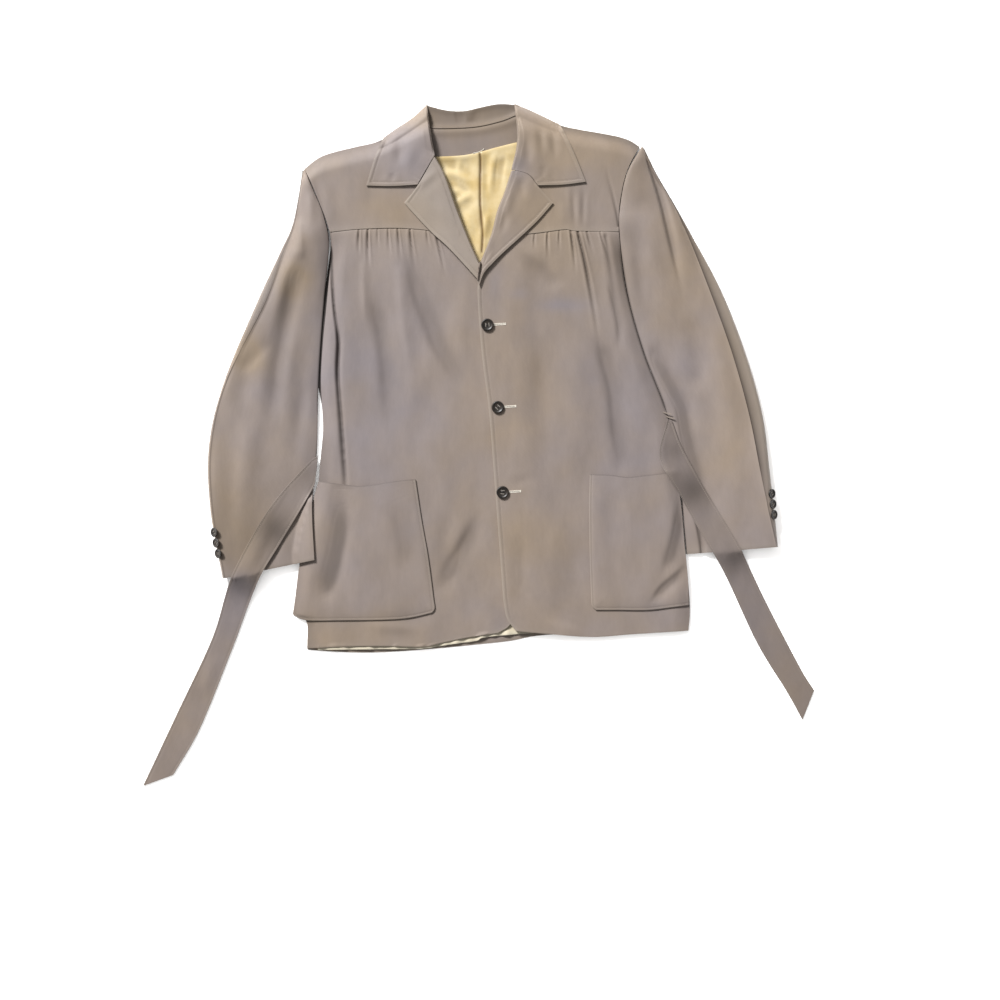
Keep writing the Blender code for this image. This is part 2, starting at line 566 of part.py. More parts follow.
seam, hem = edge(RIGHT_YOKE_SEAM), edge(RIGHT_HEM)
side, opening = edge(RIGHT_SIDE), edge(RIGHT_FRONT_EDGE, RIGHT_CORNER)
down = np.append(front_down, [0.9, 0.95, 0.975, 1])
grid = patch(seam, hem, opening, side, columns_with(20, seam, RIGHT_FOLDS), down)
from_edge = distance_to(grid, opening(even(200)))[0]
lift = PLACKET_LIFT * (1 - soft((from_edge - PLACKET_WIDTH) / 40)) * soft((300 - grid[..., 1]) / 40)
z = body_height(grid) + folds(grid, RIGHT_FOLDS) + lift
sheet("front_right", grid, np.maximum(z, lay(grid, inner_layers + ["front_left"])))

# Pockets, lapels and collar leaves lie on the panels below them.
inner, outer = edge(LEFT_POCKET_INNER), edge(LEFT_POCKET_OUTER)
grid = patch(edge(LEFT_POCKET_TOP), edge(LEFT_POCKET_LOW), outer, inner, close_to_ends(14, 0.5), even(12))
sheet("pocket_left", grid, lay(grid, ["back", "front_left"]))
inner, outer = edge(RIGHT_POCKET_INNER), edge(RIGHT_POCKET_OUTER)
grid = patch(edge(RIGHT_POCKET_TOP), edge(RIGHT_POCKET_LOW), inner, outer, close_to_ends(14, 0.5), even(12))
sheet("pocket_right", grid, lay(grid, ["back", "front_right"]))

lapel_top = edge((LEFT_LAPEL_TIP, (-87, 373.5), (-62, 415.5)))
lapel_low = edge((LEFT_LAPEL_OUTER[-1], (0, 262)))
lapel_roll = edge(((-62, 415.5),) + LEFT_ROLL[3:6] + ((0, 262),))
grid = patch(lapel_top, lapel_low, edge(LEFT_LAPEL_OUTER), lapel_roll, close_to_ends(8, 0.5), even(14))
turned_leaf("lapel_left", grid, LEFT_ROLL, ["yoke_left", "front_left", "back_lining"], LAPEL_LIFT)
lapel_top = edge(((47.5, 395), (71.5, 388), (85.4, 372.3), RIGHT_LAPEL_TIP))
lapel_low = edge((RIGHT_BREAK, RIGHT_LAPEL_OUTER[-1]))
lapel_roll = edge(((47.5, 395),) + RIGHT_ROLL[3:])
grid = patch(lapel_top, lapel_low, lapel_roll, edge(RIGHT_LAPEL_OUTER), close_to_ends(8, 0.5), even(14))
below = ["yoke_right", "front_right", "front_left", "back_lining"]
turned_leaf("lapel_right", grid, RIGHT_ROLL, below, LAPEL_LIFT)

roll = edge(LEFT_ROLL[:3], (LEFT_ROLL[2], LEFT_GORGE))
top, low, outer = edge(LEFT_COLLAR_TOP[::-1]), edge(LEFT_COLLAR_LOW), edge(LEFT_COLLAR_OUTER)
grid = patch(top, low, outer, roll, close_to_ends(8, 0.5), close_to_ends(9))
below = inner_layers + ["yoke_left", "lapel_left", "collar_stand"]
turned_leaf("collar_left", grid, LEFT_ROLL, below, COLLAR_LIFT, LEFT_COLLAR_TOP)
roll = edge((RIGHT_ROLL[0], RIGHT_ROLL[1], (48, 396)), ((48, 396), (72, 389), RIGHT_GORGE))
top, low, outer = edge(RIGHT_COLLAR_TOP), edge(RIGHT_COLLAR_LOW), edge(RIGHT_COLLAR_OUTER)
grid = patch(top, low, roll, outer, close_to_ends(8, 0.5), close_to_ends(9))
below = inner_layers + ["yoke_right", "lapel_right", "collar_stand"]
turned_leaf("collar_right", grid, RIGHT_ROLL, below, COLLAR_LIFT, RIGHT_COLLAR_TOP)

# Sleeves: the left cuff lies over the pocket's edge.
sleeve("left", LEFT_SLEEVE, ["back", "front_left", "pocket_left"], even(22))
sleeve("right", RIGHT_SLEEVE, None, even(22))

# Belt ties lie over all of it.
sleeves = ["sleeve_top_left", "sleeve_under_left", "sleeve_top_right", "sleeve_under_right"]
below = sleeves + ["front_left", "front_right", "pocket_left", "pocket_right", "back"]
start = edge((LEFT_BELT_UPPER[0], LEFT_BELT_LOWER[0]))
end = edge((LEFT_BELT_UPPER[-1], LEFT_BELT_LOWER[-1]))
grid = patch(start, end, edge(LEFT_BELT_UPPER), edge(LEFT_BELT_LOWER), even(4), even(34))
sheet("belt_left", grid, stiffened(np.maximum(lay(grid, below), 0), 4))
start = edge((RIGHT_BELT_LOWER[0], RIGHT_BELT_UPPER[0]))
end = edge((RIGHT_BELT_LOWER[-1], RIGHT_BELT_UPPER[-1]))
grid = patch(start, end, edge(RIGHT_BELT_LOWER), edge(RIGHT_BELT_UPPER), even(4), even(32))
sheet("belt_right", grid, stiffened(np.maximum(lay(grid, below), 0), 4))

# Buttons.
tree = tree_of(["front_right"])
for number, at in enumerate(FRONT_BUTTONS, 1):
    button(f"button_{number}", *front_seat(at, BUTTON_ACROSS, tree), BUTTON_ACROSS, BUTTON_HIGH, tree)
cuffs = (("left", LEFT_SLEEVE, LEFT_CUFF_SHARES), ("right", RIGHT_SLEEVE, RIGHT_CUFF_SHARES))
for side, table, shares in cuffs:
    tree = tree_of(["sleeve_under_" + side])
    for number, share in enumerate(shares, 1):
        seat = cuff_seat(table, share)
        button(f"cuff_{side}_{number}", *seat, CUFF_BUTTON_ACROSS, CUFF_BUTTON_HIGH, tree)
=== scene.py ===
# %% [markdown]
# # A belted gabardine jacket, laid flat
# The jacket lies on its back on a pale table, seen from straight above. Every piece that a tailor
# would cut becomes a thin sheet of its own, laid over the sheets below it, from the collar's fall
# up to the belt ties. First the fixed model is loaded.

# %% Load the fixed model
import math

import bmesh
import bpy
import numpy as np
from mathutils import Matrix, Vector
from mathutils.bvhtree import BVHTree


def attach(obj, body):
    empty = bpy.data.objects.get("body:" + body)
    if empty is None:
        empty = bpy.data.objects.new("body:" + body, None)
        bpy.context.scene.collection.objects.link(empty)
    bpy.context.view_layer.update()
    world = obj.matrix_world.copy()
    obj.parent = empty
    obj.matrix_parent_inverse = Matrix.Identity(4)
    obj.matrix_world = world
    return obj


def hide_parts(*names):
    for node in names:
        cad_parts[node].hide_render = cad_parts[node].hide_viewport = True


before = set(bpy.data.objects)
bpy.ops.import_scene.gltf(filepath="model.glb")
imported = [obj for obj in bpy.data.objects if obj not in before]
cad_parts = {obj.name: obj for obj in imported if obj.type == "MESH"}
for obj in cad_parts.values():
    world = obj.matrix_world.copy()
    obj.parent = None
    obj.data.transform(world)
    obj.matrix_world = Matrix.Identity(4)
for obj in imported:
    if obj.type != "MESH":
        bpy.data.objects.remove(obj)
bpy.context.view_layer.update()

# %% [markdown]
# ## Camera and light
# The photograph looks straight down, so the camera hangs above the jacket with no tilt. One picture
# point is 1.45 mm, so the frame spans 1450 mm. Daylight comes in low from beyond the left shoulder
# and casts the short shadows below the collar and beside the right lapel. A soft lamp on the same
# side makes that side a little brighter, and the pale room fills in the rest.

# %% Set up the studio
MM = 0.001
studio = bpy.context.scene
FRAME_WIDTH = 1450 * MM
LENS, SENSOR = 50.0, 36.0
TYPICAL_CLOTH_HEIGHT = 8 * MM
FRAME_CENTRE = (31.2 * MM, -81.2 * MM)
LIGHT_DISTANCE = 2.2

eye = bpy.data.cameras.new("overhead_camera")
eye.lens, eye.sensor_width = LENS, SENSOR
overhead = bpy.data.objects.new("overhead_camera", eye)
overhead.location = (*FRAME_CENTRE, FRAME_WIDTH * LENS / SENSOR + TYPICAL_CLOTH_HEIGHT)
studio.collection.objects.link(overhead)
studio.camera = overhead

DAYLIGHT_FROM = Vector((-0.56, 0.76, 0.66))
day = bpy.data.lights.new("daylight", "SUN")
day.energy, day.angle = 4.6, math.radians(12)
lamp = bpy.data.lights.new("soft_lamp", "AREA")
lamp.shape, lamp.size, lamp.energy = "DISK", 1.6, 16.0
for light in (day, lamp):
    holder = bpy.data.objects.new(light.name, light)
    holder.location = DAYLIGHT_FROM * LIGHT_DISTANCE
    holder.rotation_euler = DAYLIGHT_FROM.to_track_quat("Z", "Y").to_euler()
    studio.collection.objects.link(holder)

sky = bpy.data.worlds.new("soft_room")
sky.use_nodes = True
sky.node_tree.nodes["Background"].inputs["Color"].default_value = (1.0, 1.0, 1.0, 1.0)
sky.node_tree.nodes["Background"].inputs["Strength"].default_value = 0.27
studio.world = sky
studio.view_settings.view_transform = "Standard"
print("camera height", round(overhead.location.z, 3), "m")

# %% [markdown]
# ## Finishes
# Colours are written as they look on a screen and turned to linear light by one function. One small
# function adds a node with its settings and links. Patterns are scaled from thread sizes: the wave
# texture repeats every 0.314 / scale metres, and a noise cell is about 1 / scale metres wide.

# %% Helpers for finishes
WAVE_REPEAT = 0.314


def linear(code):
    """A screen colour such as a59a8e as linear light."""
    parts = [int(code[i : i + 2], 16) / 255 for i in (0, 2, 4)]
    return tuple(p / 12.92 if p < 0.04045 else ((p + 0.055) / 1.055) ** 2.4 for p in parts) + (1.0,)


def add(tree, kind, inputs=None, **settings):
    """Add one node, with its settings, and with values or links on its inputs."""
    new = tree.nodes.new(kind)
    for setting, value in settings.items():
        setattr(new, setting, value)
    for socket, value in (inputs or {}).items():
        if isinstance(value, bpy.types.NodeSocket):
            tree.links.new(value, new.inputs[socket])
        else:
            new.inputs[socket].default_value = value
    return new


def finish(name, **sockets):
    """A new material, with what is the same all over set on its shader."""
    new = bpy.data.materials.new(name)
    new.use_nodes = True
    shader = new.node_tree.nodes["Principled BSDF"]
    for socket, value in sockets.items():
        shader.inputs[socket.replace("_", " ")].default_value = value
    return new, new.node_tree, shader


print("white is", linear("ffffff"))

# %% [markdown]
# Gabardine is a tight steep twill of wool or rayon: smooth, slightly lustrous, with fine diagonal
# ribs. This one has aged unevenly, so that it is tan on the shoulders and mauve on the body. Three
# values stored on each sheet steer the colour: mauve; wear along edges, with painted highlights where
# an edge or face catches the light; and painted shade in creases, crevices and hollows.
# Real ribs are 0.5 mm apart, too fine to show here, so they are drawn 1.3 mm apart.

# %% Gabardine
TAN, MAUVE = linear("92816f"), linear("887f80")
PALE_WEAR_AND_HIGHLIGHT, SHADED = linear("a59a8c"), linear("261e1a")
TWILL_RIB, TWILL_STEEPNESS = 1.3 * MM, 63
YARN_SLUB = 2.2 * MM
DYE_PATCH = 70 * MM
FADED_STREAK = 30 * MM

gabardine, g, shader = finish(
    "taupe_gabardine", Roughness=0.6, IOR=1.45, Sheen_Weight=0.18, Sheen_Roughness=0.45
)
grain = add(g, "ShaderNodeUVMap", uv_map="grain").outputs["UV"]
turned = add(g, "ShaderNodeMapping", {"Vector": grain, "Rotation": (0, 0, math.radians(TWILL_STEEPNESS))})
twill = add(
    g, "ShaderNodeTexWave",
    {"Vector": turned.outputs[0], "Scale": WAVE_REPEAT / TWILL_RIB, "Distortion": 0.6, "Detail": 1.0},
)
streak = add(g, "ShaderNodeMapping", {"Vector": grain, "Scale": (1.0, 0.16, 1.0)})
slub = add(
    g, "ShaderNodeTexNoise",
    {"Vector": streak.outputs[0], "Scale": 1 / YARN_SLUB, "Detail": 3.0, "Roughness": 0.6},
)
place = add(g, "ShaderNodeTexCoord").outputs["Object"]
dye = add(g, "ShaderNodeTexNoise", {"Vector": place, "Scale": 1 / DYE_PATCH, "Detail": 2.5})
mauve = add(g, "ShaderNodeAttribute", attribute_name="mauve").outputs["Fac"]
wear = add(g, "ShaderNodeAttribute", attribute_name="wear").outputs["Fac"]
shade = add(g, "ShaderNodeAttribute", attribute_name="shade").outputs["Fac"]

patchy = add(
    g, "ShaderNodeMath", {0: dye.outputs["Fac"], 1: 0.9, 2: -0.45}, operation="MULTIPLY_ADD"
)
share = add(g, "ShaderNodeMath", {0: mauve, 1: patchy.outputs[0]}, operation="ADD", use_clamp=True)
colour = add(
    g, "ShaderNodeMix", {"Factor": share.outputs[0], "A": TAN, "B": MAUVE}, data_type="RGBA"
)
rib_tone = add(g, "ShaderNodeMapRange", {"Value": twill.outputs["Fac"], 3: 0.965, 4: 1.025})
slub_tone = add(g, "ShaderNodeMapRange", {"Value": slub.outputs["Fac"], 1: 0.25, 2: 0.75, 3: 0.972, 4: 1.025})
drawn_out = add(g, "ShaderNodeMapping", {"Vector": place, "Scale": (1.0, 0.4, 1.0)})
faded = add(
    g, "ShaderNodeTexNoise",
    {"Vector": drawn_out.outputs[0], "Scale": 1 / FADED_STREAK, "Detail": 3.0, "Roughness": 0.6},
)
faded_tone = add(g, "ShaderNodeMapRange", {"Value": faded.outputs["Fac"], 1: 0.3, 2: 0.7, 3: 0.92, 4: 1.08})
weave_tone = add(
    g, "ShaderNodeMath", {0: rib_tone.outputs[0], 1: slub_tone.outputs[0]}, operation="MULTIPLY"
)
tone = add(
    g, "ShaderNodeMath", {0: weave_tone.outputs[0], 1: faded_tone.outputs[0]}, operation="MULTIPLY"
)
woven = add(
    g, "ShaderNodeMix",
    {"Factor": 1.0, "A": colour.outputs["Result"], "B": tone.outputs[0]},
    data_type="RGBA", blend_type="MULTIPLY",
)
# wear and painted highlight: the colour is mixed towards a paler tone along worn edges and where an edge or
# face catches the light
paler_by_wear_and_highlight = add(
    g, "ShaderNodeMix", {"Factor": wear, "A": woven.outputs["Result"], "B": PALE_WEAR_AND_HIGHLIGHT}, data_type="RGBA"
)
# painted shade: the colour is mixed towards dark brown by the stored shade, where light is lost
painted_shade_colour = add(
    g, "ShaderNodeMix", {"Factor": shade, "A": paler_by_wear_and_highlight.outputs["Result"], "B": SHADED}, data_type="RGBA"
)
weave_height = add(
    g, "ShaderNodeMath", {0: twill.outputs["Fac"], 1: slub.outputs["Fac"]}, operation="ADD"
)
weave_bump = add(
    g, "ShaderNodeBump", {"Strength": 0.3, "Distance": 0.15 * MM, "Height": weave_height.outputs[0]}
)
lustre = add(g, "ShaderNodeMapRange", {"Value": slub.outputs["Fac"], 3: 0.52, 4: 0.68})
g.links.new(painted_shade_colour.outputs["Result"], shader.inputs["Base Color"])
g.links.new(lustre.outputs[0], shader.inputs["Roughness"])
g.links.new(weave_bump.outputs[0], shader.inputs["Normal"])
print("gabardine nodes", len(g.nodes))

# %% [markdown]
# The lining is cream rayon satin: long floats of thread lie along the length, so it is smooth and
# shiny, with faint lengthwise streaks. It has yellowed in patches and washed out at the hem. Its
# stored shade darkens the inside of the centre pleat and of the creases.

# %% Lining satin
satin, s, shader = finish(
    "cream_rayon_satin", Roughness=0.36, IOR=1.5, Sheen_Weight=0.12, Sheen_Roughness=0.3
)
FLOAT_STREAK = 1.6 * MM
YELLOWED_PATCH = 24 * MM
grain = add(s, "ShaderNodeUVMap", uv_map="grain").outputs["UV"]
streak = add(s, "ShaderNodeMapping", {"Vector": grain, "Scale": (1.0, 0.06, 1.0)})
floats = add(s, "ShaderNodeTexNoise", {"Vector": streak.outputs[0], "Scale": 1 / FLOAT_STREAK, "Detail": 3.0})
place = add(s, "ShaderNodeTexCoord").outputs["Object"]
age = add(s, "ShaderNodeTexNoise", {"Vector": place, "Scale": 1 / YELLOWED_PATCH, "Detail": 3.0})
yellowed = add(s, "ShaderNodeMapRange", {"Value": age.outputs["Fac"], 1: 0.3, 2: 0.7})
colour = add(
    s, "ShaderNodeMix",
    {"Factor": yellowed.outputs[0], "A": linear("e2cfa4"), "B": linear("cfb57c")}, data_type="RGBA",
)
shade = add(s, "ShaderNodeAttribute", attribute_name="shade").outputs["Fac"]
creased = add(
    s, "ShaderNodeMix", {"Factor": shade, "A": colour.outputs["Result"], "B": linear("5d4014")},
    data_type="RGBA",
)
bleached = add(s, "ShaderNodeAttribute", attribute_name="wear").outputs["Fac"]
washed = add(
    s, "ShaderNodeMix", {"Factor": bleached, "A": creased.outputs["Result"], "B": linear("d3cbb9")},
    data_type="RGBA",
)
satin_bump = add(
    s, "ShaderNodeBump", {"Strength": 0.25, "Distance": 0.12 * MM, "Height": floats.outputs["Fac"]}
)
gloss = add(s, "ShaderNodeMapRange", {"Value": floats.outputs["Fac"], 3: 0.3, 4: 0.45})
s.links.new(washed.outputs["Result"], shader.inputs["Base Color"])
s.links.new(gloss.outputs[0], shader.inputs["Roughness"])
s.links.new(satin_bump.outputs[0], shader.inputs["Normal"])
print("satin nodes", len(s.nodes))

# %% [markdown]
# Buttons are turned from dark horn, which is nearly black with brown streaks and takes a soft
# polish. Thread is cotton: pale for the buttonholes, grey in the buttons, and the cloth's own
# colour for the edge stitching. Fine noise stands for the twist along each thread.

# %% Horn, threads and shadowed slit
HORN_STREAK = 3.0 * MM
THREAD_TWIST = 0.6 * MM
horn, h, shader = finish("dark_horn", Roughness=0.42, IOR=1.54, Coat_Weight=0.06, Coat_Roughness=0.3)
place = add(h, "ShaderNodeTexCoord").outputs["Object"]
drawn = add(h, "ShaderNodeMapping", {"Vector": place, "Rotation": (0, 0, 0.6), "Scale": (1, 0.3, 1)})
streaks = add(h, "ShaderNodeTexNoise", {"Vector": drawn.outputs[0], "Scale": 1 / HORN_STREAK, "Detail": 4.0})
tones = add(h, "ShaderNodeMapRange", {"Value": streaks.outputs["Fac"], 1: 0.35, 2: 0.75})
colour = add(
    h, "ShaderNodeMix", {"Factor": tones.outputs[0], "A": linear("100c0a"), "B": linear("33291f")},
    data_type="RGBA",
)
polish = add(h, "ShaderNodeMapRange", {"Value": streaks.outputs["Fac"], 3: 0.36, 4: 0.52})
h.links.new(colour.outputs["Result"], shader.inputs["Base Color"])
h.links.new(polish.outputs[0], shader.inputs["Roughness"])

threads = {}
THREAD_COLOURS = {
    "pale_cotton_thread": ("efeae0", "d3cabb"),
    "grey_cotton_thread": ("9b948b", "6f6860"),
    "taupe_cotton_thread": ("a3968a", "84786e"),
    "shadowed_slit": ("3a312b", "241d19"),
}
for name, (light_tone, dark_tone) in THREAD_COLOURS.items():
    threads[name], t, shader = finish(name, Roughness=0.75, IOR=1.5, Sheen_Weight=0.2)
    place = add(t, "ShaderNodeTexCoord").outputs["Object"]
    twist = add(t, "ShaderNodeTexNoise", {"Vector": place, "Scale": 1 / THREAD_TWIST, "Detail": 2.0})
    colour = add(
        t, "ShaderNodeMix",
        {"Factor": twist.outputs["Fac"], "A": linear(light_tone), "B": linear(dark_tone)},
        data_type="RGBA",
    )
    t.links.new(colour.outputs["Result"], shader.inputs["Base Color"])

print("threads", len(threads))

# %% [markdown]
# The table is a board painted matt white, so it has no gloss to speak of. A broad lamp straight above
# lights the table alone, so the shadows beside the jacket stay faint.

# %% Table and its lamp
TABLE_HALF, TABLE_DROP = 4.0, 0.2 * MM
TABLE_MOTTLE = 1 / 3
table, t, shader = finish("white_table", Roughness=0.9)
place = add(t, "ShaderNodeTexCoord").outputs["Object"]
mottle = add(t, "ShaderNodeTexNoise", {"Vector": place, "Scale": 1 / TABLE_MOTTLE, "Detail": 2.0})
colour = add(
    t, "ShaderNodeMix",
    {"Factor": mottle.outputs["Fac"], "A": linear("f9f8f7"), "B": linear("f6f5f4")}, data_type="RGBA",
)
t.links.new(colour.outputs["Result"], shader.inputs["Base Color"])

bm = bmesh.new()
bmesh.ops.create_grid(bm, x_segments=2, y_segments=2, size=TABLE_HALF)
bmesh.ops.translate(bm, verts=bm.verts, vec=(0, 0, -TABLE_DROP))
floor_mesh = bpy.data.meshes.new("table_top")
bm.to_mesh(floor_mesh)
bm.free()
floor_mesh.materials.append(table)
floor = bpy.data.objects.new("table_top", floor_mesh)
studio.collection.objects.link(floor)

table_lamp = bpy.data.lights.new("table_lamp", "SUN")
table_lamp.energy, table_lamp.angle = 2.8, math.radians(150)
holder = bpy.data.objects.new("table_lamp", table_lamp)
studio.collection.objects.link(holder)
lit_by_it = bpy.data.collections.new("lit_by_table_lamp")
lit_by_it.objects.link(floor)
holder.light_linking.receiver_collection = lit_by_it
print("finishes", [m.name for m in bpy.data.materials if m.use_nodes][-8:])

# %% [markdown]
# ## The pattern lines
# A tailor's pattern is a set of lines, so the pieces start from lines too: the seams, edges and folds
# of the jacket as it lies, in millimetres, with X to the right and Y towards the collar. Lines that
# two pieces share are written once. They follow the model's own lines.

# %% Lines of the body
CLOTH, LINING = 1.6, 1.0
GAP, LAP = 0.3, 0.15
LEFT_TIP, RIGHT_TIP = (-253, 400), (234, 432)
LEFT_NECK, RIGHT_NECK = (-79, 468), (57, 478)
LEFT_YOKE, RIGHT_YOKE = (-215, 306), (203, 307)
LEFT_BREAK, RIGHT_BREAK = (2, 264), (3, 264)
LEFT_GORGE, RIGHT_GORGE = (-88, 374), (86, 373)
LEFT_FLARE, RIGHT_FOOT = (-270, -247), (305, -271)

LEFT_ARMHOLE = (LEFT_TIP, (-239, 371), (-223, 331), LEFT_YOKE)
LEFT_SIDE = (
    LEFT_YOKE, (-214, 278), (-221, 200), (-226, 150), (-229, 95), (-227, 50), (-226, 20), (-229, -14),
    (-236, -81), (-252, -132), LEFT_FLARE,
)
# the back rolls out under the left sleeve and shows in the crevice beside the front, where it is painted dark
# as shade
LEFT_BACK_SIDE = (
    LEFT_YOKE, (-216, 278), (-227, 200), (-233, 150), (-235, 100), (-228, 55), (-226, 20), (-229, -14),
    (-236, -81), (-252, -132), LEFT_FLARE,
)
LEFT_SIDE_LOW = (LEFT_FLARE, (-250, -258), (-249, -297))
RIGHT_ARMHOLE = (RIGHT_TIP, (214, 392), (204, 345), RIGHT_YOKE)
RIGHT_SIDE = (
    RIGHT_YOKE, (215, 223), (239, 136), (273, 46), (289, -38), (301, -158), (307, -235), RIGHT_FOOT,
)
LEFT_SHOULDER = (LEFT_TIP, (-234, 415), (-215, 423), (-179, 432), (-143, 441), LEFT_NECK)
RIGHT_SHOULDER = (RIGHT_NECK, (118, 463), (147, 457), (176, 452), (202, 447), (220, 441), RIGHT_TIP)
NECK_SEAM = (LEFT_NECK, (-66, 458), (-7, 460), (31, 468), RIGHT_NECK)
BACK_HEM = (
    (-249, -299), (-207, -302), (-153, -303), (-82, -299), (2, -291), (47, -286), (107, -277), RIGHT_FOOT,
)
LINING_HEM = ((-233, -299), (-143, -298), (-82, -297), (-41, -291), (-4, -286), (34, -278), (281, -261))
LEFT_HEM = ((-249, -297), (-201, -294), (-143, -293), (-82, -294), (-56, -289), (-18, -281), (28, -274))
RIGHT_HEM = ((54, -271), (108, -276), (166, -280), (224, -276), RIGHT_FOOT)
LEFT_YOKE_SEAM = (LEFT_YOKE, (-176, 310), (-125, 312), (-86, 310), (-56, 306), (-28, 303))
RIGHT_YOKE_SEAM = ((28, 302), (75, 304), (124, 310), (141, 308), RIGHT_YOKE)
LEFT_NECK_EDGE = (LEFT_NECK, (-79, 450), (-73, 416), (-57, 387), (-40, 339), (-28, 303))
RIGHT_NECK_EDGE = (RIGHT_NECK, (66, 441), (57, 394), (47, 364), (37, 338), (28, 302))
LEFT_FRONT_EDGE = ((-28, 303), (-21, 289), (4, 254), (22, 223), (37, 129), (47, 49), (53, -38), (56, -212))
LEFT_CORNER = ((56, -212), (53, -245), (44, -264), (28, -274))
RIGHT_FRONT_EDGE = ((28, 302), (14, 270), (1, 236), (-1, 209), (5, 129), (15, 49), (22, -38), (36, -226))
RIGHT_CORNER = ((36, -226), (41, -252), (54, -271))
print("body lines written, shoulder tips", LEFT_TIP, RIGHT_TIP)

# %% Lines of the collar, lapels, pockets and belt
LEFT_ROLL = ((-75, 493), (-69, 452), (-63, 416), (-47, 387), (-30, 339), (-11, 291), LEFT_BREAK)
RIGHT_ROLL = ((52, 494), (56, 441), (47, 394), (37, 364), (27, 338), (18, 303), RIGHT_BREAK)
COLLAR_FOLD = ((-75, 492), (-47, 485), (-21, 484), (2, 489), (28, 494), (52, 493))
LEFT_COLLAR_TOP = ((-75, 493), (-96, 474), (-120, 458), (-137, 446))
LEFT_COLLAR_OUTER = ((-137, 446), (-150, 412), (-162, 373))
LEFT_COLLAR_LOW = ((-162, 373), (-125, 372), LEFT_GORGE)
RIGHT_COLLAR_TOP = ((52, 494), (75, 485), (117, 465))
RIGHT_COLLAR_OUTER = ((117, 465), (137, 422), (155, 378))
RIGHT_COLLAR_LOW = (RIGHT_GORGE, (121, 374), (155, 378))
LEFT_LAPEL_TIP, RIGHT_LAPEL_TIP = (-107, 348), (108, 348)
LEFT_LAPEL_OUTER = (LEFT_LAPEL_TIP, (-89, 328), (-66, 304), (-41, 281), (-1, 237.5))
RIGHT_LAPEL_OUTER = (RIGHT_LAPEL_TIP, (86, 323), (62, 300), (38, 278), (20, 260), (8, 246), (0.8, 228))
FACING_LOW = ((-78, 415), (-62, 416), (-24, 418), (2, 423), (31, 431), (66, 438))

LEFT_POCKET_TOP = ((-232, -54), (-194, -59), (-172, -61), (-152, -59), (-121, -54), (-91, -51))
LEFT_POCKET_INNER = ((-91, -51), (-82, -110), (-73, -161), (-65, -222), (-63, -238), (-67, -245))
LEFT_POCKET_LOW = ((-269, -249), (-249, -256), (-192, -256), (-131, -255), (-98, -252), (-67, -245))
LEFT_POCKET_OUTER = ((-232, -54), (-240, -81), (-250, -132), (-260, -177), (-269, -249))
RIGHT_POCKET_TOP = ((161, -44), (191, -45), (215, -48), (237, -46), (287, -40))
RIGHT_POCKET_INNER = ((161, -44), (160, -97), (161, -164), (163, -220), (164, -234), (170, -241))
RIGHT_POCKET_LOW = ((170, -241), (202, -241), (246, -241), (280, -237), (305, -234))
RIGHT_POCKET_OUTER = ((287, -40), (295, -97), (299, -146), (304, -197), (305, -234))

LEFT_BELT_UPPER = (
    (-233, -17), (-249, -30), (-305, -97), (-359, -197), (-388, -284), (-439, -393), (-488, -497),
)
LEFT_BELT_LOWER = (
    (-237, -56), (-243, -70), (-283, -138), (-323, -207), (-359, -300), (-405, -413), (-444, -481),
)
RIGHT_BELT_LOWER = (
    (273, 33), (262, -20), (292, -75), (328, -139), (360, -193), (405, -289), (449, -361), (471, -401),
)
RIGHT_BELT_UPPER = ((280, 35), (297, -9), (337, -80), (382, -157), (421, -236), (468, -326), (488, -358))
print("collar, pocket and belt lines written")

# %% [markdown]
# ## From lines to grids
# A smooth line runs through the written points. Four such lines bound a piece, and the space between
# them is filled by blending opposite sides, which is called a Coons patch. The result is a grid of
# points in rows and columns that follows every edge, so a flat grid mesh can take its shape.

# %% Lines and patches
def smooth_line(points):
    """A smooth line through the points, as many close points."""
    p = np.array(points, float)
    p = np.vstack([2 * p[0] - p[1], p, 2 * p[-1] - p[-2]])
    t = np.linspace(0, 1, 24, endpoint=False)[:, None]
    runs = []
    for a, b, c, d in zip(p, p[1:], p[2:], p[3:]):
        bend = (2 * a - 5 * b + 4 * c - d) * t**2 + (3 * b - a - 3 * c + d) * t**3
        runs.append(b + 0.5 * ((c - a) * t + bend))
    return np.vstack(runs + [p[-2:-1]])


def edge(*runs):
    """A function from 0..1 to points along the runs, which meet at sharp corners."""
    line = np.vstack([smooth_line(run) for run in runs])
    steps = np.hypot(*np.diff(line, axis=0).T)
    share = np.concatenate([[0], np.cumsum(steps)]) / steps.sum()
    return lambda t: np.stack([np.interp(t, share, line[:, k]) for k in (0, 1)], -1)


def patch(top, bottom, left, right, across, down):
    """A grid of x, y filled in between four edges."""
    u, v = across[None, :, None], down[:, None, None]
    rows = (1 - v) * top(across)[None] + v * bottom(across)[None]
    columns = (1 - u) * left(down)[:, None] + u * right(down)[:, None]
    corners = (1 - v) * ((1 - u) * top(0.0) + u * top(1.0))
    corners = corners + v * ((1 - u) * bottom(0.0) + u * bottom(1.0))
    return rows + columns - corners


def moved(points, x, y):
    return tuple((px + x, py + y) for px, py in points)


def raised_end(points):
    """The same line with its last point just above the seam."""
    return points[:-1] + moved(points[-1:], 0, LAP)


def line_length(points):
    return np.hypot(*np.diff(smooth_line(points), axis=0).T).sum()


def shares(count, pull=0.6):
    """Shares from 0 to 1 that stand closer together at both ends."""
    t = np.linspace(0, 1, count + 1)
    return t - pull * np.sin(2 * np.pi * t) / (2 * np.pi)


def shares_near(count, places):
    """Shares from 0 to 1 that stand closer together at some places, given with their reach."""
    t = np.linspace(0, 1, 2001)
    density = 1 + 3.5 * np.max([np.exp(-(((t - at) / reach) ** 2)) for at, reach in places], axis=0)
    far = np.cumsum(density) - density[0]
    return np.interp(np.linspace(0, 1, count + 1), far / far[-1], t)


